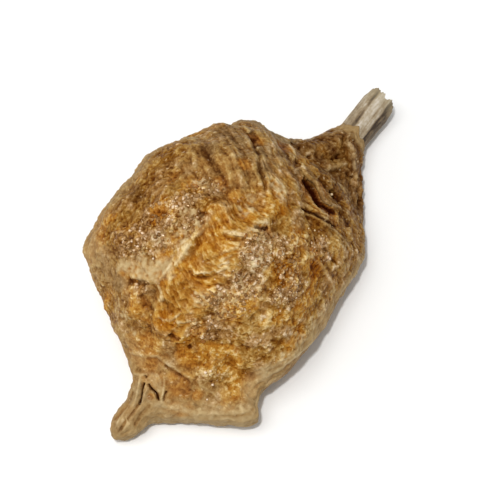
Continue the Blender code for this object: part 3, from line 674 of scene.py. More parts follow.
def froth(points, size, seed):
    """Nearest of scattered points: its distance, the second's, its key and the way to it."""
    cell, local = lattice(points, size)
    near = np.full(points.shape[:-1], 9.0)
    second = near.copy()
    key = np.zeros(points.shape[:-1], np.int64)
    way = np.zeros(points.shape)
    for offset in np.ndindex(3, 3, 3):
        shift = np.array(offset) - 1
        found = hashed(cell + shift, seed)
        step = local - shift - scattered(found)
        gap = np.linalg.norm(step, axis=-1)
        closer = gap < near
        second = np.where(closer, near, np.minimum(second, gap))
        key = np.where(closer, found, key)
        way = np.where(closer[..., None], step, way)
        near = np.minimum(near, gap)
    return near, second, key, way


def crumbs(points, size, seed):
    """Crumbs of dried froth: domes and pits with tilted tops and a crease round each, about 0."""
    near, second, key, way = froth(points, size, seed)
    rise = 1.5 * (key >> 7 & 255) / 255 - 0.5
    dome = np.sqrt(np.clip(1 - (near / 0.75) ** 2, 0, 1))
    tilt = np.sum(way * (scattered(key) - 0.5), axis=-1)
    crease = smooth_step(second - near, 0.0, 0.18)
    return crease * (dome * rise + 1.1 * tilt) - 0.2


def unit(vectors):
    """Directions of length 1."""
    return vectors / np.linalg.norm(vectors, axis=-1, keepdims=True)


def view_axes():
    """The camera's back, right and up directions."""
    back = np.array([np.sin(VIEW_AZIMUTH) * np.cos(VIEW_ELEVATION),
                     -np.cos(VIEW_AZIMUTH) * np.cos(VIEW_ELEVATION), np.sin(VIEW_ELEVATION)])
    right = np.array([np.cos(VIEW_AZIMUTH), np.sin(VIEW_AZIMUTH), 0])
    return back, right, np.cross(back, right)


def in_photo(points):
    """Where points fall in the photograph, in pixels, and how near they are to the camera."""
    back, right, up = view_axes()
    offset = points - VIEW_AIM
    depth = offset @ back
    scale = VIEW_DISTANCE / (VIEW_DISTANCE - depth) / PIXEL
    middle = PHOTO_SIZE / 2
    return middle + offset @ right * scale, middle - offset @ up * scale, depth


def as_seen(points):
    """Space pressed flatter along the line of sight, so that marks keep their width as seen."""
    back = view_axes()[0]
    return points - (1 - DEPTH_SHARE) * (points @ back)[..., None] * back


def outlines(x):
    """The case's sections at each x: an ellipse-like dome on a narrower flat foot, as y and z."""
    x = x[:, None]
    far, near = through(FAR_SIDE, x), through(NEAR_SIDE, x)
    crest, shift = through(CREST, x), through(CREST_SHIFT, x)
    angle = np.linspace(0, 2 * np.pi, DENSE_OUTLINE, endpoint=False)[None]
    across, rise = np.cos(angle), np.sin(angle)
    on_far = across > 0
    reach = np.where(on_far, far - shift, near + shift)
    widest = np.where(on_far, through(FAR_WIDEST, x), through(NEAR_RIM, x))
    foot = np.where(on_far, through(FAR_FOOT, x), through(NEAR_FOOT, x))
    power = 2 / np.where(on_far, FAR_FULLNESS, through(NEAR_FULLNESS, x))
    under = 2 / UNDERSIDE_POWER
    depth = np.minimum(1, BASE_DEPTH_GAIN * np.abs(rise) ** under)
    upper_y = shift + reach * np.sign(across) * np.abs(across) ** power
    upper_z = widest + (crest - widest) * np.abs(rise) ** power
    foot_y = shift * (1 - depth)
    lower_reach = np.where(on_far, far - foot_y, near + foot_y) * (1 - (1 - foot) * depth)
    lower_y = foot_y + lower_reach * np.sign(across) * np.abs(across) ** under
    lower_z = widest * (1 - depth)
    return np.where(rise >= 0, upper_y, lower_y), np.where(rise >= 0, upper_z, lower_z)


def tip_share(x):
    """How much of its section the blunt tip keeps at x: a rounded end that closes at x = 0."""
    closed = np.clip(1 - x / TIP_ROUNDING, 0, 1)
    return (1 - closed ** TIP_POWER) ** (1 / TIP_POWER)


class Sections:
    """The case's bare sections at a run of x, to be sampled by length from the band's line."""

    def __init__(self, stations):
        self.x = stations
        y, z = outlines(stations)
        share = tip_share(stations)[:, None]
        self.y = TWIG_AXIS_START[1] + (np.c_[y, y[:, :1]] - TWIG_AXIS_START[1]) * share
        self.z = TWIG_AXIS_START[2] + (np.c_[z, z[:, :1]] - TWIG_AXIS_START[2]) * share
        steps = np.hypot(np.diff(self.y), np.diff(self.z))
        self.length = np.c_[np.zeros(len(stations)), np.cumsum(steps, axis=1)]
        half = DENSE_OUTLINE // 2
        over = slice(half, None, -1)
        line = through(BAND_LINE, stations)
        self.far = np.array([np.interp(target, row_y[over], row_length[over])
                             for target, row_y, row_length in zip(line, self.y, self.length)])
        self.near = self.far - self.length[:, half]

    def sample(self, side):
        """Points at lengths round each row from the band's line, positive on the far side."""
        walked = np.mod(self.far[:, None] - side, self.length[:, -1:])
        y = np.array([np.interp(*row) for row in zip(walked, self.length, self.y)])
        z = np.array([np.interp(*row) for row in zip(walked, self.length, self.z)])
        return np.stack([np.broadcast_to(self.x[:, None], y.shape), y, z], -1)

    def evenly(self, count):
        """Lengths that spread points round each row, fewer on the base and the far underside."""
        height = (self.z[:, :-1] + self.z[:, 1:]) / 2
        share = np.where(height < 1e-6, BASE_POINT_SHARE, 1.0)
        under = (height < FAR_UNDERSIDE * self.z.max(1, keepdims=True)) & (self.y[:, :-1] > 0)
        share = np.where(under & (height >= 1e-6), FAR_POINT_SHARE, share)
        walked = np.cumsum(np.diff(self.length) * share, axis=1)
        walked = np.c_[np.zeros(len(walked)), walked]
        stops = np.linspace(0, 1, count, endpoint=False)
        found = np.array([np.interp(stops * end, row, length)
                          for end, row, length in zip(walked[:, -1], walked, self.length)])
        side = self.far[:, None] - found
        whole = self.length[:, -1:]
        return np.where(side < -whole / 2, side + whole, side)


def spread(low, high, count):
    """Values of x from low to high, evenly spaced by length along the crest's profile."""
    x = np.linspace(low, high, 2000)
    walked = np.concatenate([[0], np.cumsum(np.hypot(np.diff(x), np.diff(through(CREST, x))))])
    return np.interp(np.linspace(0, walked[-1], count), walked, x)


def outward(points, wraps):
    """Unit normals of a grid: the cross of its two directions."""
    if wraps:
        around = np.roll(points, -1, axis=1) - np.roll(points, 1, axis=1)
    else:
        around = np.gradient(points, axis=1)
    normal = np.cross(around, np.gradient(points, axis=0))
    return normal / (np.linalg.norm(normal, axis=-1, keepdims=True) + 1e-12)


class Patch:
    """A grid of points on the bare case, with where each lies and which way it faces."""

    def __init__(self, sections, side, wraps):
        self.sections = sections
        self.side = side
        self.wraps = wraps
        self.points = sections.sample(side)
        raised = 0
        for middle, reach, rise in SWELLS:
            gap = (self.points[..., :2] - middle) / reach
            raised = raised + rise * np.exp(-np.sum(gap ** 2, axis=-1))
        self.points[..., 2] += raised * smooth_step(self.points[..., 2], *SWELL_HEIGHTS)
        self.points[..., 0] -= TIP_STRETCH * smooth_step(self.points[..., 0], *TIP_STRETCHED)
        self.normals = outward(self.points, wraps)
        self.x = self.points[..., 0]
        self.z = self.points[..., 2]
        self.seen = as_seen(self.points)

    def cell(self):
        """Mean distances between neighbouring points, along x and across."""
        along = np.linalg.norm(np.diff(self.points, axis=0), axis=-1).mean()
        return along, np.linalg.norm(np.diff(self.points, axis=1), axis=-1).mean()


def body_patch():
    """The whole bare case, from the tip's first row to the mouth."""
    rounding = TIP_ROUNDING * (1 - np.cos(np.linspace(0, np.pi / 2, TIP_ROWS + 1)[1:]))
    stretches = [np.linspace(low, high, rows + 1)[1:] for low, high, rows in BODY_ROWS]
    sections = Sections(np.concatenate([rounding] + stretches))
    return Patch(sections, sections.evenly(POINTS_AROUND), True)


class Locator:
    """Finds which point of the case the photograph shows at a pixel."""

    def __init__(self, patch, raised):
        facing = patch.normals @ view_axes()[0] > 0.02
        across, down, depth = in_photo(raised)
        self.bare, self.raised = patch.points[facing], raised[facing]
        self.across, self.down, self.depth = across[facing], down[facing], depth[facing]

    def under_pixel(self, across, down):
        """Which of the points the photograph shows at a pixel."""
        gap = np.hypot(self.across - across, self.down - down)
        close = np.flatnonzero(gap < max(1.6, gap.min() + 0.4))
        return close[np.argmax(self.depth[close])]

    def path(self, pixels, points, spacing=2.0):
        """A smooth run of the bare or the raised points along a line drawn in the photograph."""
        line = np.array(pixels, float)
        walked = np.concatenate([[0], np.cumsum(np.hypot(*np.diff(line, axis=0).T))])
        stops = np.linspace(0, walked[-1], max(3, int(walked[-1] / spacing) + 1))
        found = points[[self.under_pixel(through(np.c_[walked, line[:, 0]], stop),
                                         through(np.c_[walked, line[:, 1]], stop)) for stop in stops]]
        for _ in range(3):
            padded = np.pad(found, ((1, 1), (0, 0)), mode="edge")
            found = (padded[:-2] + 2 * padded[1:-1] + padded[2:]) / 4
        fine = np.linspace(0, len(found) - 1, 3 * len(found))
        return np.stack([np.interp(fine, range(len(found)), axis) for axis in found.T], -1)


def line_masks(points, path, half_width):
    """1 along a path, falling off over its half width and thinning out towards both ends.

    The second mask leans: it falls gently on the path's left, as the photograph shows it, and
    steeply on its right.
    """
    even, leaning = np.zeros((2,) + points.shape[:-1])
    reach = 4 * half_width
    low, high = path.min(0) - reach, path.max(0) + reach
    inside = np.all((points > low) & (points < high), axis=-1)
    if not inside.any():
        return even, leaning
    offset = points[inside][:, None] - path[None]
    gap = np.linalg.norm(offset, axis=2)
    nearest = gap.argmin(axis=1)
    share = nearest / (len(path) - 1)
    ends = np.clip(4 * share * (1 - share), 0, 1) ** 0.35
    leftward = np.cross(view_axes()[0], np.gradient(path, axis=0))[nearest]
    on_left = np.sum(offset[np.arange(len(nearest)), nearest] * leftward, axis=1) > 0
    gap = gap.min(axis=1) / half_width
    even[inside] = ends * np.exp(-gap ** 2)
    leaning[inside] = ends * np.exp(-(gap / np.where(on_left, LEAN, 1 / LEAN)) ** 2)
    return even, leaning


def blob_mask(points, blobs, ragged):
    """1 inside any of some (centre, radius) blobs, falling off softly and raggedly round them."""
    mask = np.zeros(points.shape[:-1])
    wobble = 1 + ragged * noise(points, 1.1, 17)
    for centre, radius in blobs:
        gap = np.linalg.norm(points - centre, axis=-1) * wobble
        mask = np.maximum(mask, smooth_step(gap, 1.3 * radius, 0.5 * radius))
    return mask


def chevron(x, side):
    """Growth coordinate: lines of equal value cross the band and lean to +x down both flanks."""
    bowed = np.hypot(side, BOW) - BOW
    far_lean, near_lean = [share * reach * np.tanh(bowed / reach)
                           for share, reach in (FAR_LEAN, NEAR_LEAN)]
    return x - np.where(side > 0, far_lean, near_lean)


def saw(phase):
    """A run of overlapping edges: steep on the -x side of each and sloping away behind it."""
    part = phase - np.floor(phase)
    return smooth_step(part, 0, 0.2) * (1 - part) ** 0.8


def fibres(patch, pitch, length, seed):
    """Noise drawn out along the growth lines: its pitch across them and its length along them."""
    across = chevron(patch.x, patch.side) + 0.3 * noise(patch.points, 1.6, seed)
    spots = np.stack([across / pitch, patch.side / length, np.zeros_like(across)], -1)
    return noise(spots, 1.0, seed + 1)


class Marks:
    """The photograph's marks, carried onto the case: paths and patches in space."""

    def __init__(self, locator):
        def seen_path(pixels):
            return as_seen(locator.path(pixels, locator.bare))

        def place(across, down):
            return locator.bare[locator.under_pixel(across, down)]

        self.ridges = [(seen_path(pixels), *rest) for pixels, *rest in RIDGES.values()]
        self.grooves = [(seen_path(pixels), *rest) for pixels, *rest in GROOVES.values()]
        self.spots = [(as_seen(place(across, down)), *rest) for across, down, *rest in SPOTS.values()]
        self.patches = {
            name: (ragged, [(place(across, down), radius) for across, down, radius in blobs])
            for name, (ragged, blobs) in PATCHES.items()}
        self.shades = [(place(across, down), *rest) for across, down, *rest in SHADES]


def zones(patch):
    """Masks from 0 to 1 for the parts of the case that differ in build."""
    x, side = patch.x, patch.side
    on_near = patch.points[..., 1] < 0
    above = patch.z - through(NEAR_RIM, x)
    dome = smooth_step(x, *DOME_START) * smooth_step(x, *DOME_END)
    band = dome * smooth_step(np.abs(side) / through(BAND_HALF_WIDTH, x), *BAND_EDGE)
    fan = (smooth_step(x, *FAN_START) * smooth_step(side, *FAN_NEAR_SIDE)
           * smooth_step(side, *FAN_FAR_SIDE))
    rings = smooth_step(x, *RINGS_START) * smooth_step(-side, *RINGS_SIDE)
    brim_top = through(BRIM, x)
    brim = smooth_step(above, brim_top + BRIM_EDGE[0], brim_top + BRIM_EDGE[1])
    brim = brim * smooth_step(x, *BRIM_END) * on_near
    return {"dome": dome, "band": band, "fan": dome * fan, "rings": dome * rings, "brim": brim,
            "wall": smooth_step(above - through(WALL_TOP, x), *WALL_EDGE) * on_near,
            "neck": smooth_step(x, *NECK_START), "tip": smooth_step(x, *TIP_END),
            "blunt end": smooth_step(x, *BLUNT_END),
            "band lines": band * (1 - 0.4 * smooth_step(x, *BAND_LINES_END)),
            "open ground": dome * (1 - band) * (1 - 0.7 * brim)}


def lumps(patch, zone):
    """The softest forms: the solids' lumps, smaller ones between them, and the raised band."""
    points = patch.points
    on_dome = smooth_step(patch.z, *LUMPS_COME_IN)
    height = on_dome * mixed(soft_lumps, points, SOLID_LUMPS)
    small = SMALL_LUMP + SMALL_LUMP * on_dome
    height += small * noise(points, 1.5, 9) + SMALL_LUMP * layered(points, 1.3, 21)
    return height + BAND_RISE * zone["band"] * smooth_step(patch.x, *BAND_RISE_END)


def drawn_marks(patch, marks):
    """Relief of the photograph's marks, how calm and pale the skin is along them, and their painted
    shade.
    """
    relief = np.zeros(patch.x.shape)
    worn = np.clip(WORN + noise(patch.points, WORN_SIZE, 18), 0.1, 1)
    calm, pale, dark = np.zeros((3,) + patch.x.shape)
    for path, half_width, rise, paleness in marks.ridges:
        crest, leaning = line_masks(patch.seen, path, half_width)
        relief = np.maximum(relief, rise * leaning)
        calm = np.maximum(calm, RIDGE_CALM * leaning)
        pale = np.maximum(pale, paleness * worn * smooth_step(crest, *RIDGE_PALENESS))
    # Grooves and pits are darkened with painted shade
    for path, half_width, depth, darkness in marks.grooves:
        bed, _ = line_masks(patch.seen, path, half_width)
        relief -= depth * bed
        calm = np.maximum(calm, GROOVE_CALM * bed)
        dark = np.maximum(dark, darkness * smooth_step(bed, *GROOVE_DARKNESS))
    for centre, radius, rise, darkness in marks.spots:
        gap = np.linalg.norm(patch.seen - centre, axis=-1)
        bed = smooth_step(gap, SPOT_EDGE[0] * radius, SPOT_EDGE[1] * radius)
        relief += rise * bed
        dark = np.maximum(dark, darkness * bed)
    return relief, calm, pale, dark


def fine_relief(points, patch, zone):
    """Flaps, leaves, growth rings, froth and wrinkles, each strongest in its own part."""
    band, fan, glassy = zone["band"], zone["fan"], zone["glassy"]
    calm = np.maximum(0.7 * zone["pale"], zone["calm"])
    warp = mixed(noise, points, FLAP_WARP)
    growth = chevron(patch.x, patch.side)
    uneven = np.clip(0.7 + 0.9 * noise(points, 1.7, 34), 0.05, 1.3)
    flaps = saw(growth / FLAP_PITCH + warp) - SAW_MIDDLE
    leaves = saw(mixed(noise, points, LEAF_WARP, growth / LEAF_PITCH)) - SAW_MIDDLE
    rings = saw(growth / RING_PITCH + 1.3 * warp) - SAW_MIDDLE
    height = band * (FLAP_HEIGHT * uneven * flaps + THIN_FLAP_HEIGHT * rings)
    height += (1 - band) * (LEAF_HEIGHT * fan * leaves + RING_HEIGHT * uneven * zone["rings"] * rings)
    fibrous = strongest(zone, FIBROUS)
    drawn_out = FIBRE_HEIGHT * sum(fibres(patch, *kind) for kind in FIBRES)
    height += fibrous * (1 - 0.6 * calm) * drawn_out
    rough = (1 - 0.8 * calm) * (1 - 0.35 * fibrous) * (1 - 0.5 * fan)
    height += rough * glassy * mixed(crumbs, points, GLASSY_CRUMBS)
    height += rough * (1 - glassy) * zone["open ground"] * mixed(crumbs, points, PLAIN_CRUMBS)
    plain = rough * (1 - strongest(zone, UNWRINKLED))
    wrinkles = 1 - 2 * np.abs(noise(points, 0.8, 51))
    height += plain * (WRINKLE_HEIGHT + NECK_WRINKLES * zone["neck"]) * wrinkles
    height += plain * RUFFLE_HEIGHT * layered(points, 0.42, 61, 2)
    streaks = noise(points * np.array([0.2, 1, 1]), 0.34, 71)
    return height + STREAK_HEIGHT * strongest(zone, STREAKED) * (1 - calm) * streaks


def fading(patch):
    """Where detail is kept: away from the flat base and from the twig's mouth."""
    mouth = smooth_step(patch.x, CASE_LENGTH - MOUTH_FADE[0], CASE_LENGTH - MOUTH_FADE[1])
    return (MOUTH_DETAIL + (1 - MOUTH_DETAIL) * mouth) * smooth_step(patch.z, *BASE_FADE)


def blurred(values, radius, cell):
    """Values averaged over about this radius: three running means each way, ends held."""
    for axis in (0, 1):
        reach = int(round(radius / cell[axis]))
        if reach < 1:
            continue
        for _ in range(3):
            pad = [(0, 0), (0, 0)]
            pad[axis] = (reach + 1, reach)
            total = np.cumsum(np.pad(values, pad, mode="edge"), axis=axis)
            upper = np.take(total, range(2 * reach + 1, total.shape[axis]), axis=axis)
            lower = np.take(total, range(total.shape[axis] - 2 * reach - 1), axis=axis)
            values = (upper - lower) / (2 * reach + 1)
    return values


def turned_to_view(normals):
    """Directions in which marks rise: outward, and the more towards the view the steeper it is."""
    back = view_axes()[0]
    return unit(normals + TURN_TO_VIEW * np.clip(1 - normals @ back, 0, 1)[..., None] * back)


def dressed(patch, marks, lift):
    """A patch's finished points and the values that its finish reads."""
    zone = zones(patch)
    for name, (ragged, blobs) in marks.patches.items():
        zone[name] = blob_mask(patch.points, blobs, ragged)
    zone["glassy"] = zone["dome"] * zone["glassy"] * (1 - zone["pale"])
    relief, zone["calm"], zone["ridges"], zone["slits"] = drawn_marks(patch, marks)
    keep = fading(patch)
    coarse = lumps(patch, zone) * keep
    shaped = patch.points + patch.normals * (coarse + lift)[..., None]
    shaped += turned_to_view(patch.normals) * (relief * keep)[..., None]
    fine = fine_relief(shaped, patch, zone) * keep
    finished = shaped + outward(shaped, patch.wraps) * fine[..., None]
    leaning = np.maximum(zone["band"], zone["fan"]) * np.clip(fine, 0, None)
    finished[..., 0] -= LEAF_LEAN * leaning
    finished[..., 2] = np.maximum(finished[..., 2], 0)
    return finished, finish_values(patch, marks, zone, fine + coarse + MARK_TONE * relief)


def finish_values(patch, marks, zone, height):
    """What the finish reads at each point: its form, its part, its stains with painted shade, and its
    growth lines.
    """
    points, x = patch.points, patch.x
    cell = patch.cell()
    # Tones from the relief, fine and broad: its tops paler and its hollows darker, partly the foam's
    # own paler edges and partly painted light and shade
    tone = height - blurred(height, TONE_REACH, cell)
    broad = height - blurred(height, BROAD_REACH, cell)
    for centre, radius, change in marks.shades:
        gap = np.linalg.norm(points - centre, axis=-1) / radius
        tone += SHADE_GAIN * change * np.exp(-gap ** 2)
    collar = smooth_step(x, *COLLAR_START)
    far_skin = smooth_step(patch.normals[..., 2], *FAR_SKIN_SLOPE) * smooth_step(x, *FAR_SKIN_START)
    far_skin = far_skin * (points[..., 1] > FAR_SKIN_FROM)
    blunt_skin = smooth_step(x, *BLUNT_SKIN_END)
    zone = {**zone, "collar": collar, "far skin": far_skin, "blunt skin": blunt_skin}
    # Painted shade: the near side below its widest line is darkened, as its underside in shadow
    shaded_strip = SHADED_STRIP_DARKNESS * smooth_step(patch.z - through(NEAR_RIM, x), *SHADED_STRIP_EDGE)
    shaded_strip = shaded_strip * smooth_step(x, *SHADED_STRIP_START) * (points[..., 1] < 0)
    orange, slits = zone["orange"], zone["slits"]
    neck = zone["neck"] * (1 - 0.7 * collar) * (0.85 + 0.6 * noise(points, 1.3, 19))
    plain = (1 - np.maximum.reduce([shaded_strip, slits, 0.5 * orange])) * strongest(zone, PLAIN_SKIN)
    bleached = zone["pale"] * (0.72 + 0.9 * noise(points, 0.45, 20))
    frosted = zone["frosted"] * (0.35 + 0.9 * noise(points, 0.4, 22))
    # The painted shade of grooves and pits darkens the tone, and with the shaded strip it goes in with
    # the brown stains
    return foam_values(
        form=(0.5 + TONE_GAIN * tone - HOLLOW_SHADE_DARKENS * slits * (1 - zone["neck"]),
              0.5 + BROAD_GAIN * broad, zone["glassy"]),
        part=(zone["band"] * (1 - 0.6 * zone["fan"]) * smooth_step(x, *BAND_COLOUR_END),
              np.clip(neck, 0, 1), plain),
        stain=(orange, np.maximum.reduce([slits, 0.7 * zone["brown"], shaded_strip]),
               np.maximum.reduce([zone["ridges"], bleached, frosted])),
        lines=(chevron(x, patch.side), patch.side, (1 - 0.7 * zone["calm"]) * strongest(zone, LINED)))


def foam_values(form, part=(0, 0, 0), stain=(0, 0, 0), lines=(0, 0, 0)):
    """What the foam's finish reads, by name: three values each, as arrays or plain numbers."""
    given = {"form": form, "part": part, "stain": stain, "lines": lines}
    shape = np.shape(form[0])
    return {"foam_" + label: np.stack([np.broadcast_to(value, shape) for value in three], -1)
            for label, three in given.items()}


def twig_centre(x):
    """The twig's axis at x."""
    share = (x - TWIG_AXIS_START[0]) / (TWIG_AXIS_END[0] - TWIG_AXIS_START[0])
    return TWIG_AXIS_START + np.multiply.outer(share, TWIG_AXIS_END - TWIG_AXIS_START)


def slanted(points):
    """The mouth's ragged lip, cut askew: it reaches further along the twig on the far side."""
    centre = twig_centre(points[..., 0])
    angle = np.arctan2(points[..., 2] - centre[..., 2], points[..., 1] - centre[..., 1])
    ring = np.stack([0 * angle, np.cos(angle), np.sin(angle)], -1)
    where, width, reach = LIP_TONGUE
    tongue = reach * np.exp(-((angle - where) / width) ** 2)
    further = LIP_SLANT * np.cos(angle - LIP_FURTHEST) - LIP_BACK + LIP_RAGGED * noise(ring, 0.4, 81)
    points[..., 0] += smooth_step(points[..., 0], LIP_START, CASE_LENGTH) * (further + tongue)
    return points


def mouth_rows(last_row):
    """Rows that curl the foam's lip round the twig and close it inside the wood."""
    centre = twig_centre(last_row[:, 0])
    spoke = last_row - centre
    spoke[:, 0] = 0
    length = np.linalg.norm(spoke, axis=1, keepdims=True)
    inner = TWIG_RADIUS_END - LIP_IN_WOOD
    rows = []
    for curl, inward in LIP_CURL:
        row = centre + spoke / length * (length * (1 - inward) + inner * inward)
        row[:, 0] += curl
        rows.append(row)
    rows += [centre + spoke / length * radius - np.array([LIP_DEPTH, 0, 0]) for radius in LIP_HEART]
    return np.array(rows)


def closed_faces(rows, around, first):
    """Quads and end fans of a closed body: rows that wrap round, then a pole for each end."""
    corner = first + np.arange((rows - 1) * around).reshape(rows - 1, around)
    beside = np.roll(corner, -1, axis=1)
    quads = np.stack([corner, beside, beside + around, corner + around], -1).reshape(-1, 4)
    ring = first + np.arange(around)
    after = np.roll(ring, -1)
    pole = np.full(around, first + rows * around)
    last = (rows - 1) * around
    return quads, np.concatenate([np.stack([after, ring, pole], 1),
                                  np.stack([last + ring, last + after, pole + 1], 1)])


def with_poles(grown):
    """A grid's values in one run, followed by the means of its first and its last row."""
    return np.concatenate([grown.reshape(-1, grown.shape[-1]), [grown[0].mean(0), grown[-1].mean(0)]])


def closed_mesh(name, bodies, material):
    """One piece of closed bodies, each given as a grid of points and the values on them."""
    counts = [grid.shape[0] * grid.shape[1] + 2 for grid, _ in bodies]
    firsts = np.concatenate([[0], np.cumsum(counts)[:-1]])
    faces = [closed_faces(*grid.shape[:2], first) for (grid, _), first in zip(bodies, firsts)]
    verts = np.concatenate([with_poles(grid) for grid, _ in bodies])
    values = {label: np.concatenate([with_poles(given[label]) for _, given in bodies])
              for label in bodies[0][1]}
    groups = [np.concatenate(group) for group in zip(*faces)]
    return new_mesh(name, (verts - MIDDLE) * MM, groups, values, material)


def placed(name, data):
    """A new object in the scene."""
    made = bpy.data.objects.new(name, data)
    bpy.context.scene.collection.objects.link(made)
    return made


def new_mesh(name, verts, face_groups, values, material):
    """A smooth piece from arrays of points and faces, with its named values on the points."""
    mesh = bpy.data.meshes.new(name)
    mesh.vertices.add(len(verts))
    mesh.vertices.foreach_set("co", verts.astype(np.float32).ravel())
    loops = np.concatenate([group.ravel() for group in face_groups])
    sizes = np.concatenate([np.full(len(group), group.shape[1]) for group in face_groups])
    mesh.loops.add(len(loops))
    mesh.loops.foreach_set("vertex_index", loops.astype(np.int32))
    mesh.polygons.add(len(sizes))
    starts = np.concatenate([[0], np.cumsum(sizes)[:-1]])
    mesh.polygons.foreach_set("loop_start", starts.astype(np.int32))
    mesh.update(calc_edges=True)
    mesh.validate()
    mesh.shade_smooth()
    for label, numbers in values.items():
        kind, field = ("FLOAT_VECTOR", "vector") if numbers.shape[-1] == 3 else ("FLOAT", "value")
        layer = mesh.attributes.new(label, kind, "POINT")
        layer.data.foreach_set(field, numbers.astype(np.float32).ravel())
    mesh.materials.append(material)
    return placed(name, mesh)


def foam_body(patch, marks, material):
    """The case itself, sunk a little where the crusts cover it, and closed round the twig."""
    near = patch.sections.near[:, None]
    far = patch.sections.far[:, None] + FAR_RIM_OVERLAP
    covered = smooth_step(patch.x, *SUNK_FROM) * smooth_step(patch.x, *SUNK_TO)
    covered = covered * smooth_step(patch.side, near + SUNK_NEAR[0], near + SUNK_NEAR[1])
    covered = covered * smooth_step(patch.side, far + SUNK_FAR[0], far + SUNK_FAR[1])
    finished, values = dressed(patch, marks, -BODY_SINK * covered)
    finished = slanted(finished)
    lip = mouth_rows(finished[-1])
    values = {label: np.concatenate([grown, np.repeat(grown[-1:], len(lip), axis=0)])
              for label, grown in values.items()}
    return closed_mesh("egg_case_foam", [(np.concatenate([finished, lip]), values)], material)


def crust(name, marks, material):
    """A closed plate: a finely dressed top that dips into the body at its borders, and a back."""
    (low, high), far, near, (rows, across, under) = CRUSTS[name]
    sections = Sections(spread(low, high, rows))
    far_edge = sections.far + FAR_RIM_OVERLAP if far == FAR_RIM else np.full(rows, far)
    near_edge = sections.near - NEAR_RIM_OVERLAP if near == NEAR_RIM_LINE else np.full(rows, near)
    share = np.linspace(0, 1, across)[None]
    side = far_edge[:, None] + (near_edge - far_edge)[:, None] * share
    patch = Patch(sections, side, False)
    to_border = np.minimum.reduce([far_edge[:, None] - side, side - near_edge[:, None],
                                   patch.x - low, high - patch.x])
    to_border = to_border + BORDER_WANDER * noise(patch.points, BORDER_SIZE, 97)
    lift = CRUST_LIFT - (CRUST_LIFT + CRUST_SINK) * smooth_step(to_border, CRUST_BORDER, 0.1)
    finished, values = dressed(patch, marks, lift)
    behind = np.linspace(across - 2, 1, under).round().astype(int)
    back = patch.points[:, behind] - patch.normals[:, behind] * (CRUST_SINK + CRUST_THICKNESS)
    back[..., 2] = np.maximum(back[..., 2], LOWEST_BACK)
    grid = np.concatenate([finished, back], axis=1)
    values = {label: np.concatenate([grown, grown[:, behind]], axis=1)
              for label, grown in values.items()}
    return closed_mesh(name, [(grid, values)], material), finished, to_border, values


def rolled_fold(path, half_width, lift, seed):
    """A tube raised over a path that tapers at both ends, with painted light on top and painted shadow
    underneath.
    """
    back = view_axes()[0]
    along = np.gradient(path, axis=0)
    side = unit(np.cross(back, along))
    rise = unit(np.cross(along, side))
    taper = (FOLD_END + np.sin(np.pi * np.linspace(0, 1, len(path)))) ** 0.5
    angle = np.linspace(0, 2 * np.pi, ROLL_POINTS_AROUND, endpoint=False)[:, None]
    ring = np.cos(angle) * side[:, None] + np.sin(angle) * rise[:, None]
    swell, length = FOLD_SWELL
    radius = half_width * taper[:, None] * (1 + swell * noise(path, length, seed))[:, None]
    spots = path[:, None] + half_width * ring
    for index, (height, size) in enumerate(FOLD_LUMPS, 1):
        radius = radius + height * noise(spots, size, seed + index)
    grid = path[:, None] + back * lift * taper[:, None, None] + ring * radius[..., None]
    top = np.broadcast_to(np.sin(angle)[:, 0], radius.shape)
    # Painted light on the fold's top and painted shadow under it
    tone = 0.5 + FOLD_PAINTED_TOP_LIGHT * top + FOLD_MOTTLE * noise(spots, 0.6, seed + 3)
    shadow = FOLD_SHADOW * smooth_step(top, *FOLD_UNDERSIDE)
    return grid, foam_values(form=(tone, 0.5, 0), part=(0, FOLD_BROWN, 0), stain=(0, shadow, FOLD_PALE))


def rolls(locator, material):
    """The rolled folds round the neck's pocket."""
    bodies = [rolled_fold(locator.path(pixels, locator.raised), half_width, lift, 101 + 10 * index)
              for index, (pixels, half_width, lift) in enumerate(ROLLS.values())]
    return closed_mesh("neck_folds", bodies, material)


def small_ball():
    """An eight-sided solid cut once more into a ball: its 18 points and 32 faces."""
    around = np.array(list(np.ndindex(3, 3, 3))) - 1
    steps = np.abs(around).sum(axis=1)
    corners = around[(steps > 0) & (steps < 3)]
    faces = []
    for signs in np.array(np.meshgrid([-1, 1], [-1, 1], [-1, 1])).reshape(3, -1).T:
        tips = np.diag(signs)
        mids = tips + np.roll(tips, -1, axis=0)
        a, b, c, ab, bc, ca = [np.flatnonzero((corners == spot).all(1))[0] for spot in [*tips, *mids]]
        turn = slice(None, None, int(np.prod(signs)))
        faces += [face[turn] for face in ([a, ab, ca], [ab, b, bc], [bc, c, ca], [ab, bc, ca])]
    return unit(corners), np.array(faces)


def froth_beads(draw, ball, points, to_border, glassy):
    """Beads half sunk in one crust's grainy foam, of random size, stretch, turn and tone."""
    area = np.linalg.norm(np.cross(np.gradient(points, axis=0), np.gradient(points, axis=1)), axis=-1)
    chance = BEADS_PER_AREA * area * smooth_step(glassy, *BEADS_COME_IN) * (to_border > CRUST_BORDER)
    chosen = draw.random(chance.shape) < chance
    place, up = points[chosen], outward(points, False)[chosen]
    count = len(place)
    size = BEAD_RADIUS[0] + (BEAD_RADIUS[1] - BEAD_RADIUS[0]) * draw.random(count) ** 2
    first = unit(np.cross(up, draw.normal(size=(count, 3))))
    turned = np.stack([first * draw.uniform(*BEAD_STRETCH, (count, 1)), np.cross(up, first),
                       up * draw.uniform(*BEAD_FLATNESS, (count, 1))], 1)
    sunk = up * (draw.uniform(*BEAD_SINK, count) * size)[:, None]
    verts = place[:, None] + (ball @ turned) * size[:, None, None] + sunk[:, None]
    # Painted highlight: each bead's top is painted paler by a random amount
    top = np.clip(ball[None, :, 2], 0, 1) ** 2
    tone = draw.uniform(*BEAD_TONE, (count, 1))
    return verts, tone + draw.uniform(*BEAD_PAINTED_HIGHLIGHT, (count, 1)) ** 2 * top


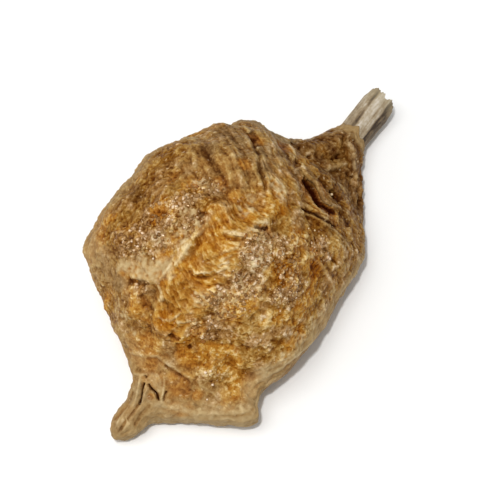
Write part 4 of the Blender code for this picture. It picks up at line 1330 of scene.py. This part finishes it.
def beads(crusts, locator, material):
    """The glints seen in the photograph and the froth's beads, in one piece of glassy balls."""
    draw = np.random.default_rng(BEAD_SEED)
    ball, faces = small_ball()
    back = view_axes()[0]
    verts, tones = [], []
    for across, down, radius, stands_out in GLINTS:
        place = locator.raised[locator.under_pixel(across, down)] + back * stands_out
        verts.append((place + radius * ball)[None])
        # Painted highlight: a pale tone, paler still on the side that faces the camera
        tones.append(0.9 + 0.3 * ball[None] @ back)
    for points, to_border, values in crusts:
        glassy = values["foam_form"][:, :points.shape[1], 2]
        spots, tone = froth_beads(draw, ball, points, to_border, glassy)
        verts.append(spots)
        tones.append(tone)
    verts = np.concatenate(verts)
    faces = faces[None] + len(ball) * np.arange(len(verts))[:, None, None]
    given = foam_values(form=(np.concatenate(tones).ravel(), 0.5, BEAD_GLASS))
    verts = (verts.reshape(-1, 3) - MIDDLE) * MM
    return new_mesh("glassy_beads", verts, [faces.reshape(-1, 3)], given, material)


class Nodes:
    """A short way to add nodes to a material or a node group and to join them."""

    def __init__(self, tree):
        self.tree = tree

    def add(self, kind, settings=None, **inputs):
        """A node with its settings, and its inputs set to a value or joined to a socket."""
        made = self.tree.nodes.new(kind)
        for name, value in (settings or {}).items():
            setattr(made, name, value)
        for name, value in inputs.items():
            key = int(name[1:]) if name[0] == "i" and name[1:].isdigit() else name.replace("_", " ")
            self.feed(made.inputs[key], value)
        return made

    def feed(self, socket, value):
        """Joins a socket to another or gives it a plain value."""
        if isinstance(value, bpy.types.NodeSocket):
            self.tree.links.new(value, socket)
        else:
            socket.default_value = value

    def math(self, operation, first, *others, clamp=False):
        """One kind of sum carried on over two or more numbers."""
        for other in others:
            made = self.add("ShaderNodeMath", {"operation": operation, "use_clamp": clamp},
                            i0=first, i1=other)
            first = made.outputs[0]
        return first

    def total(self, *values):
        """The sum of several numbers."""
        return self.math("ADD", *values)

    def times(self, *values):
        """The product of several numbers."""
        return self.math("MULTIPLY", *values)

    def most(self, *values):
        """The greatest of several numbers."""
        return self.math("MAXIMUM", *values)

    def centred(self, value, gain):
        """A value from 0 to 1 carried to either side of 0, and made stronger or weaker."""
        return self.times(self.math("SUBTRACT", value, 0.5), gain)

    def vector(self, operation, *values):
        """One sum on vectors."""
        inputs = {"i%d" % index: value for index, value in enumerate(values)}
        return self.add("ShaderNodeVectorMath", {"operation": operation}, **inputs).outputs[0]

    def cells(self, place, scale):
        """A random number for each of many small cells, and how far a point is from its middle."""
        cell = self.add("ShaderNodeTexVoronoi", Vector=place, Scale=scale)
        level = self.add("ShaderNodeSeparateColor", i0=cell.outputs["Color"]).outputs[0]
        return level, cell.outputs["Distance"]

    def noise(self, place, scale, detail, output=0):
        """Cloudy noise from 0 to 1."""
        return self.add("ShaderNodeTexNoise", Vector=place, Scale=scale, Detail=detail).outputs[output]

    def span(self, value, low, high, to_low=0.0, to_high=1.0):
        """A value carried from one range to another, kept inside it."""
        made = self.add("ShaderNodeMapRange", {"interpolation_type": "SMOOTHSTEP"}, Value=value,
                        From_Min=low, From_Max=high, To_Min=to_low, To_Max=to_high)
        return made.outputs[0]

    def mix(self, share, first, second):
        """Two colours mixed by a share."""
        made = self.add("ShaderNodeMix", {"data_type": "RGBA"}, i0=share, i6=first, i7=second)
        return made.outputs[2]

    def bump(self, height, strength, distance):
        """Fine relief of this depth in metres."""
        made = self.add("ShaderNodeBump", Strength=strength, Distance=distance, Height=height)
        return made.outputs["Normal"]

    def ramp(self, value, stops):
        """A colour ramp from its stops: the place, red, green and blue of each."""
        made = self.add("ShaderNodeValToRGB", i0=value)
        elements = made.color_ramp.elements
        for element, (place, *shown) in zip(elements, (stops[0], stops[-1])):
            element.position, element.color = place, colour(*shown)
        for place, *shown in stops[1:-1]:
            elements.new(place).color = colour(*shown)
        return made.outputs[0]


def colour(red, green, blue):
    """A colour given as it shows on a screen, 0 to 255, turned into the linear light it stands for."""
    shown = np.array([red, green, blue]) / 255
    linear = np.where(shown <= 0.04045, shown / 12.92, ((shown + 0.055) / 1.055) ** 2.4)
    return (*linear.tolist(), 1.0)


def new_group(name, inputs, outputs):
    """An empty node group with its named sockets, and its input and output nodes."""
    group = bpy.data.node_groups.new(name, "ShaderNodeTree")
    for label, kind in inputs:
        group.interface.new_socket(label, in_out="INPUT", socket_type=kind)
    for label, kind in outputs:
        group.interface.new_socket(label, in_out="OUTPUT", socket_type=kind)
    return group, group.nodes.new("NodeGroupInput"), group.nodes.new("NodeGroupOutput")


def new_material(name):
    """A new material, the means to add nodes to it, and its shader."""
    material = bpy.data.materials.new(name)
    material.use_nodes = True
    return material, Nodes(material.node_tree), material.node_tree.nodes["Principled BSDF"]


def foam_textures(made, at):
    """Adds the foam's clouds, specks, crumbs, fibres and flakes to the values at a point."""
    at.place = made.add("ShaderNodeTexCoord").outputs["Object"]
    at.cloudy = made.noise(at.place, CLOUD_SCALE, 3.0)
    at.patchy = made.noise(at.place, PATCH_SCALE, 3.0)
    at.speckle = made.noise(at.place, SPECKLE_SCALE, 4.0)
    ruffled = made.noise(at.place, RUFFLE_SCALE, 2.0, "Color")
    ruffled = made.vector("MULTIPLY_ADD", ruffled, RUFFLE, at.place)
    at.crumb, at.crumb_gap = made.cells(ruffled, CRUMB_SCALE)
    at.speck, at.speck_gap = made.cells(ruffled, SPECK_SCALE)
    drawn = made.add("ShaderNodeCombineXYZ", X=made.times(at.growth, FLAKES_ACROSS),
                     Y=made.times(at.side, FLAKES_ALONG)).outputs[0]
    at.fibre = made.noise(made.vector("MULTIPLY", drawn, FIBRE_FINENESS), 1.0, 3.0)
    drawn = made.vector("MULTIPLY_ADD", at.speckle, FLAKE_BEND, drawn)
    at.flake, at.flake_gap = made.cells(drawn, 1.0)


def foam_grain(made, at):
    """Adds where the foam is smooth or grainy, its threads and crumbs, and its tone."""
    at.smooth = made.most(at.pale, at.wall, made.times(at.lined, SMOOTH_LINES))
    at.grain = made.times(made.span(at.glassy, *GRAIN_IN_GLASS), made.span(at.smooth, *GRAIN_ON_SMOOTH),
                          made.span(at.glassy, *GRAIN_ON_BEADS))
    swing = {name: made.centred(getattr(at, name), gain) for name, gain in SWINGS.items()}
    at.thread = made.times(made.total(swing["fibre"], swing["flake"]), at.lined)
    at.crumbs = made.times(made.total(swing["crumb"], swing["speck"]), at.grain)
    clouds = made.times(made.total(swing["patchy"], swing["cloudy"]),
                        made.math("SUBTRACT", 1.0, at.smooth, clamp=True))
    at.tone = made.total(at.form, swing["speckle"], at.thread, at.crumbs, swing["broad"],
                         made.times(at.band, BAND_TONE), clouds)


def foam_colour(made, at):
    """The foam's colour: each kind of foam over the last, then painted glints on some crumbs and
    painted shade in their pits.
    """
    kinds = {name: made.ramp(at.tone, stops) for name, stops in FOAM_COLOURS.items()}
    warm = made.times(made.span(at.cloudy, *WARM_CLOUDS), made.span(at.lined, *WARM_LINES))
    warm = made.most(made.times(at.orange, ORANGE_WARMTH), warm, made.times(at.band, BAND_WARMTH))
    blush = made.span(made.noise(at.place, BLUSH_SCALE, 2.0), *BLUSH_CLOUDS)
    blush = made.most(blush, made.times(at.glassy, made.span(at.patchy, *BLUSH_PATCHES)))
    blush = made.math("SUBTRACT", blush, made.times(warm, WARM_OVER_BLUSH), clamp=True)
    # The brown value holds brown stains and the painted shade of slits, pits, folds and the strip
    dark = made.most(at.brown, made.span(at.patchy, *DARK_PATCHES), at.neck)
    shown = made.mix(warm, kinds["tan"], kinds["amber"])
    shown = made.mix(blush, shown, kinds["glass"])
    shown = made.mix(dark, shown, made.mix(at.orange, kinds["umber"], kinds["rust"]))
    shown = made.mix(at.wall, shown, kinds["plain"])
    shown = made.mix(at.pale, shown, kinds["cream"])
    # Painted glints on a few crumbs and painted shade in the pits of others
    lit = made.times(made.span(at.crumb, *GLINT_CRUMBS), made.span(at.crumb_gap, *GLINT_MIDDLES),
                     at.grain, PAINTED_GLINT_SHARE)
    pit = made.times(made.span(at.crumb, *SHADED_PIT_CRUMBS), made.span(at.crumb_gap, *SHADED_PIT_MIDDLES),
                     at.grain, PIT_SHADE_SHARE)
    return made.mix(pit, made.mix(lit, shown, colour(*PAINTED_GLINT_COLOUR)), colour(*PIT_SHADE_COLOUR))


def foam_roughness(made, at):
    """Nearly matt, glossier in glassy foam, and never in smooth skin, dark stains and painted shade."""
    gloss = made.times(made.most(at.glassy, LEAST_GLOSS), made.span(at.patchy, *GLOSSY_PATCHES),
                       made.span(at.smooth, *GLOSS_ON_SMOOTH))
    return made.most(made.math("SUBTRACT", SKIN_ROUGHNESS, made.times(gloss, GLOSS_DEPTH)),
                     made.times(at.brown, STAIN_AND_SHADE_ROUGHNESS))


def foam_height(made, at):
    """The foam's finest relief: crumbs, specks, threads and flakes."""
    edges = made.total(made.span(at.crumb_gap, *CRUMB_EDGES), made.span(at.speck_gap, *SPECK_EDGES))
    flakes = made.times(made.span(at.flake_gap, *FLAKE_EDGES), at.lined)
    return made.total(made.times(edges, at.grain), made.times(at.speckle, SPECKLE_RELIEF), at.crumbs,
                      at.thread, flakes)


def foam_skin_group():
    """Colour, gloss and fine relief of the hardened foam, from its form and the part it is in."""
    group, given, result = new_group(
        "foam skin", [(label, "NodeSocketVector") for label in SKIN_VALUES],
        [("Colour", "NodeSocketColor"), ("Roughness", "NodeSocketFloat"),
         ("Height", "NodeSocketFloat")])
    made = Nodes(group)
    at = SimpleNamespace()
    for label, names in SKIN_VALUES.items():
        split = made.add("ShaderNodeSeparateXYZ", i0=given.outputs[label])
        for name, socket in zip(names, split.outputs):
            setattr(at, name, socket)
    foam_textures(made, at)
    foam_grain(made, at)
    made.feed(result.inputs["Colour"], foam_colour(made, at))
    made.feed(result.inputs["Roughness"], foam_roughness(made, at))
    made.feed(result.inputs["Height"], foam_height(made, at))
    return group


def foam_material(group, name, specular):
    """Hardened foam: mottled tan to orange-brown, nearly matt as a skin and glassy as beads."""
    material, made, shader = new_material(name)
    inputs = {label: made.add("ShaderNodeAttribute", {"attribute_name": "foam_" + label.lower()}
                              ).outputs["Vector"] for label in SKIN_VALUES}
    skin = made.add("ShaderNodeGroup", {"node_tree": group}, **inputs)
    made.feed(shader.inputs["Base Color"], skin.outputs["Colour"])
    made.feed(shader.inputs["Roughness"], skin.outputs["Roughness"])
    made.feed(shader.inputs["Normal"], made.bump(skin.outputs["Height"], *SKIN_BUMP))
    made.feed(shader.inputs["Specular Tint"], SPECULAR_TINT)
    made.feed(shader.inputs["Specular IOR Level"], specular)
    return material


def twig_piece(material):
    """The twig: a tapered rod, ridged along its length, with a ragged end and a sunk heart."""
    angle = np.linspace(0, 2 * np.pi, TWIG_POINTS_AROUND, endpoint=False)
    share = np.concatenate([np.linspace(low, high, rows, endpoint=high == 1)
                            for low, high, rows in TWIG_ROWS])[:, None]
    bark = np.array(BARK)
    drift = np.mod(np.degrees(angle)[None] + WANDER * np.sin(share * WANDERS), 360)
    # The bark's paleness holds painted shade on the near lower side
    outline, pale = through(bark[:, [0, 1]], drift), through(bark[:, [0, 2]], drift)
    ring = np.stack([0 * angle, np.cos(angle), np.sin(angle)], 1)
    spots = ring[None] + np.concatenate([30 * share, 0 * share, 0 * share], 1)[:, None]
    grain = sum(height * noise(spots * np.array([stretch, 1, 1]), size, seed)
                for height, stretch, size, seed in BARK_GRAIN)
    radius = (TWIG_RADIUS_START + (TWIG_RADIUS_END - TWIG_RADIUS_START) * share) * (outline + grain)
    across = -np.cos(angle - LEFT_EDGE)
    shows = np.sin(angle - LEFT_EDGE) > 0
    pull_back = np.where(shows, through(BREAK, across), through(BREAK_UNDER, across))
    pull_back = pull_back + SPLINTERS * noise(ring, 0.16, 93)
    pull_back = pull_back + FINE_SPLINTERS * np.sin(SPLINTER_COUNT * angle)
    centre = TWIG_AXIS_START + share * (TWIG_AXIS_END - TWIG_AXIS_START)
    grid = centre[:, None] + ring[None] * radius[..., None]
    grid[..., 0] -= np.clip(pull_back, 0, None) * smooth_step(share, *BREAK_START)
    heart = TWIG_AXIS_END - np.array([HEART_DEPTH, 0, 0])
    inner = [grid[-1] * part + heart * (1 - part) for part in HEART_RINGS]
    tone = np.concatenate([pale + GRAIN_TONE * grain, np.full((len(inner), len(angle)), HEART_TONE)])
    body = np.concatenate([grid, inner]), {"twig_tone": tone[..., None]}
    return closed_mesh("twig_bark", [body], material)


def twig_material():
    """Weathered twig: grey-white ridges, tan and brown grooves, and an olive broken end."""
    material, made, shader = new_material("weathered twig")
    place = made.add("ShaderNodeTexCoord").outputs["Object"]
    drawn = made.add("ShaderNodeMapping", Vector=place, Scale=FIBRE_STRETCH).outputs[0]
    fibre = made.noise(drawn, TWIG_FIBRE_SCALE, 4.0)
    given = made.add("ShaderNodeAttribute", {"attribute_name": "twig_tone"}).outputs["Fac"]
    tone = made.total(given, made.centred(fibre, FIBRE_SWING),
                      made.centred(made.noise(place, TWIG_CLOUD_SCALE, 2.0), TWIG_CLOUD_SWING),
                      made.centred(made.noise(place, TWIG_SPECKLE_SCALE, 3.0), TWIG_SPECKLE_SWING))
    along = made.add("ShaderNodeSeparateXYZ", Vector=place).outputs["X"]
    shown = made.mix(made.span(along, *BROKEN_END), made.ramp(tone, TWIG_COLOURS), colour(*BROKEN_WOOD))
    made.feed(shader.inputs["Base Color"], shown)
    made.feed(shader.inputs["Normal"], made.bump(fibre, *BARK_BUMP))
    made.feed(shader.inputs["Roughness"], TWIG_ROUGHNESS)
    return material


def place_camera():
    """The camera at the photograph's angle, with the photograph's frame."""
    back, right, up = view_axes()
    data = bpy.data.cameras.new("photo view")
    data.sensor_width = SENSOR
    data.lens = SENSOR * VIEW_DISTANCE / (PHOTO_SIZE * PIXEL)
    data.clip_start = 0.01
    place = (VIEW_AIM - MIDDLE + back * VIEW_DISTANCE) * MM
    camera = placed("photo view", data)
    camera.matrix_world = Matrix([*np.c_[right, up, back, place].tolist(), [0, 0, 0, 1]])
    bpy.context.scene.camera = camera


def soft_light(name, towards, distance, size, power):
    """A square light that faces the case, towards it from a mix of the camera's axes."""
    direction = Vector(np.array(towards) @ np.array(view_axes())).normalized()
    data = bpy.data.lights.new(name, "AREA")
    data.energy = power
    data.size = size
    light = placed(name, data)
    light.location = direction * distance
    light.rotation_mode = "QUATERNION"
    light.rotation_quaternion = direction.to_track_quat("Z", "Y")


def studio():
    """A pale floor, a pale surround and soft lights, with a small one near the camera for glints."""
    material, _, shader = new_material("pale floor")
    shader.inputs["Base Color"].default_value = FLOOR_COLOUR
    shader.inputs["Roughness"].default_value = FLOOR_ROUGHNESS
    mesh = bpy.data.meshes.new("floor")
    corners = [(-1, -1), (1, -1), (1, 1), (-1, 1)]
    mesh.from_pydata([(FLOOR_REACH * x, FLOOR_REACH * y, 0) for x, y in corners], [], [(0, 1, 2, 3)])
    mesh.materials.append(material)
    placed("floor", mesh)
    world = bpy.data.worlds.new("surround")
    world.use_nodes = True
    background = world.node_tree.nodes["Background"]
    background.inputs["Color"].default_value = (1, 1, 1, 1)
    background.inputs["Strength"].default_value = SURROUND
    bpy.context.scene.world = world
    bpy.context.scene.view_settings.view_transform = "Standard"
    for name, settings in LIGHTS.items():
        soft_light(name, *settings)


def dress():
    """Every piece of the case and the twig, each on its body and with its finish."""
    bare = body_patch()
    raised = bare.points + bare.normals * lumps(bare, zones(bare))[..., None]
    locator = Locator(bare, raised)
    marks = Marks(locator)
    skin = foam_skin_group()
    finish = foam_material(skin, "hardened foam", SKIN_SPECULAR)
    glassy = foam_material(skin, "glassy froth", BEAD_SPECULAR)
    foam = foam_body(bare, marks, finish)
    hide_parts("egg_case")
    crusts = [crust(name, marks, finish) for name in CRUSTS]
    pieces = [foam, rolls(locator, finish), beads([made[1:] for made in crusts], locator, glassy)]
    for piece in pieces + [made[0] for made in crusts]:
        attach(piece, "root")
    twig = twig_piece(twig_material())
    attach(twig, "root")
    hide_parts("twig")


place_camera()
studio()
dress()
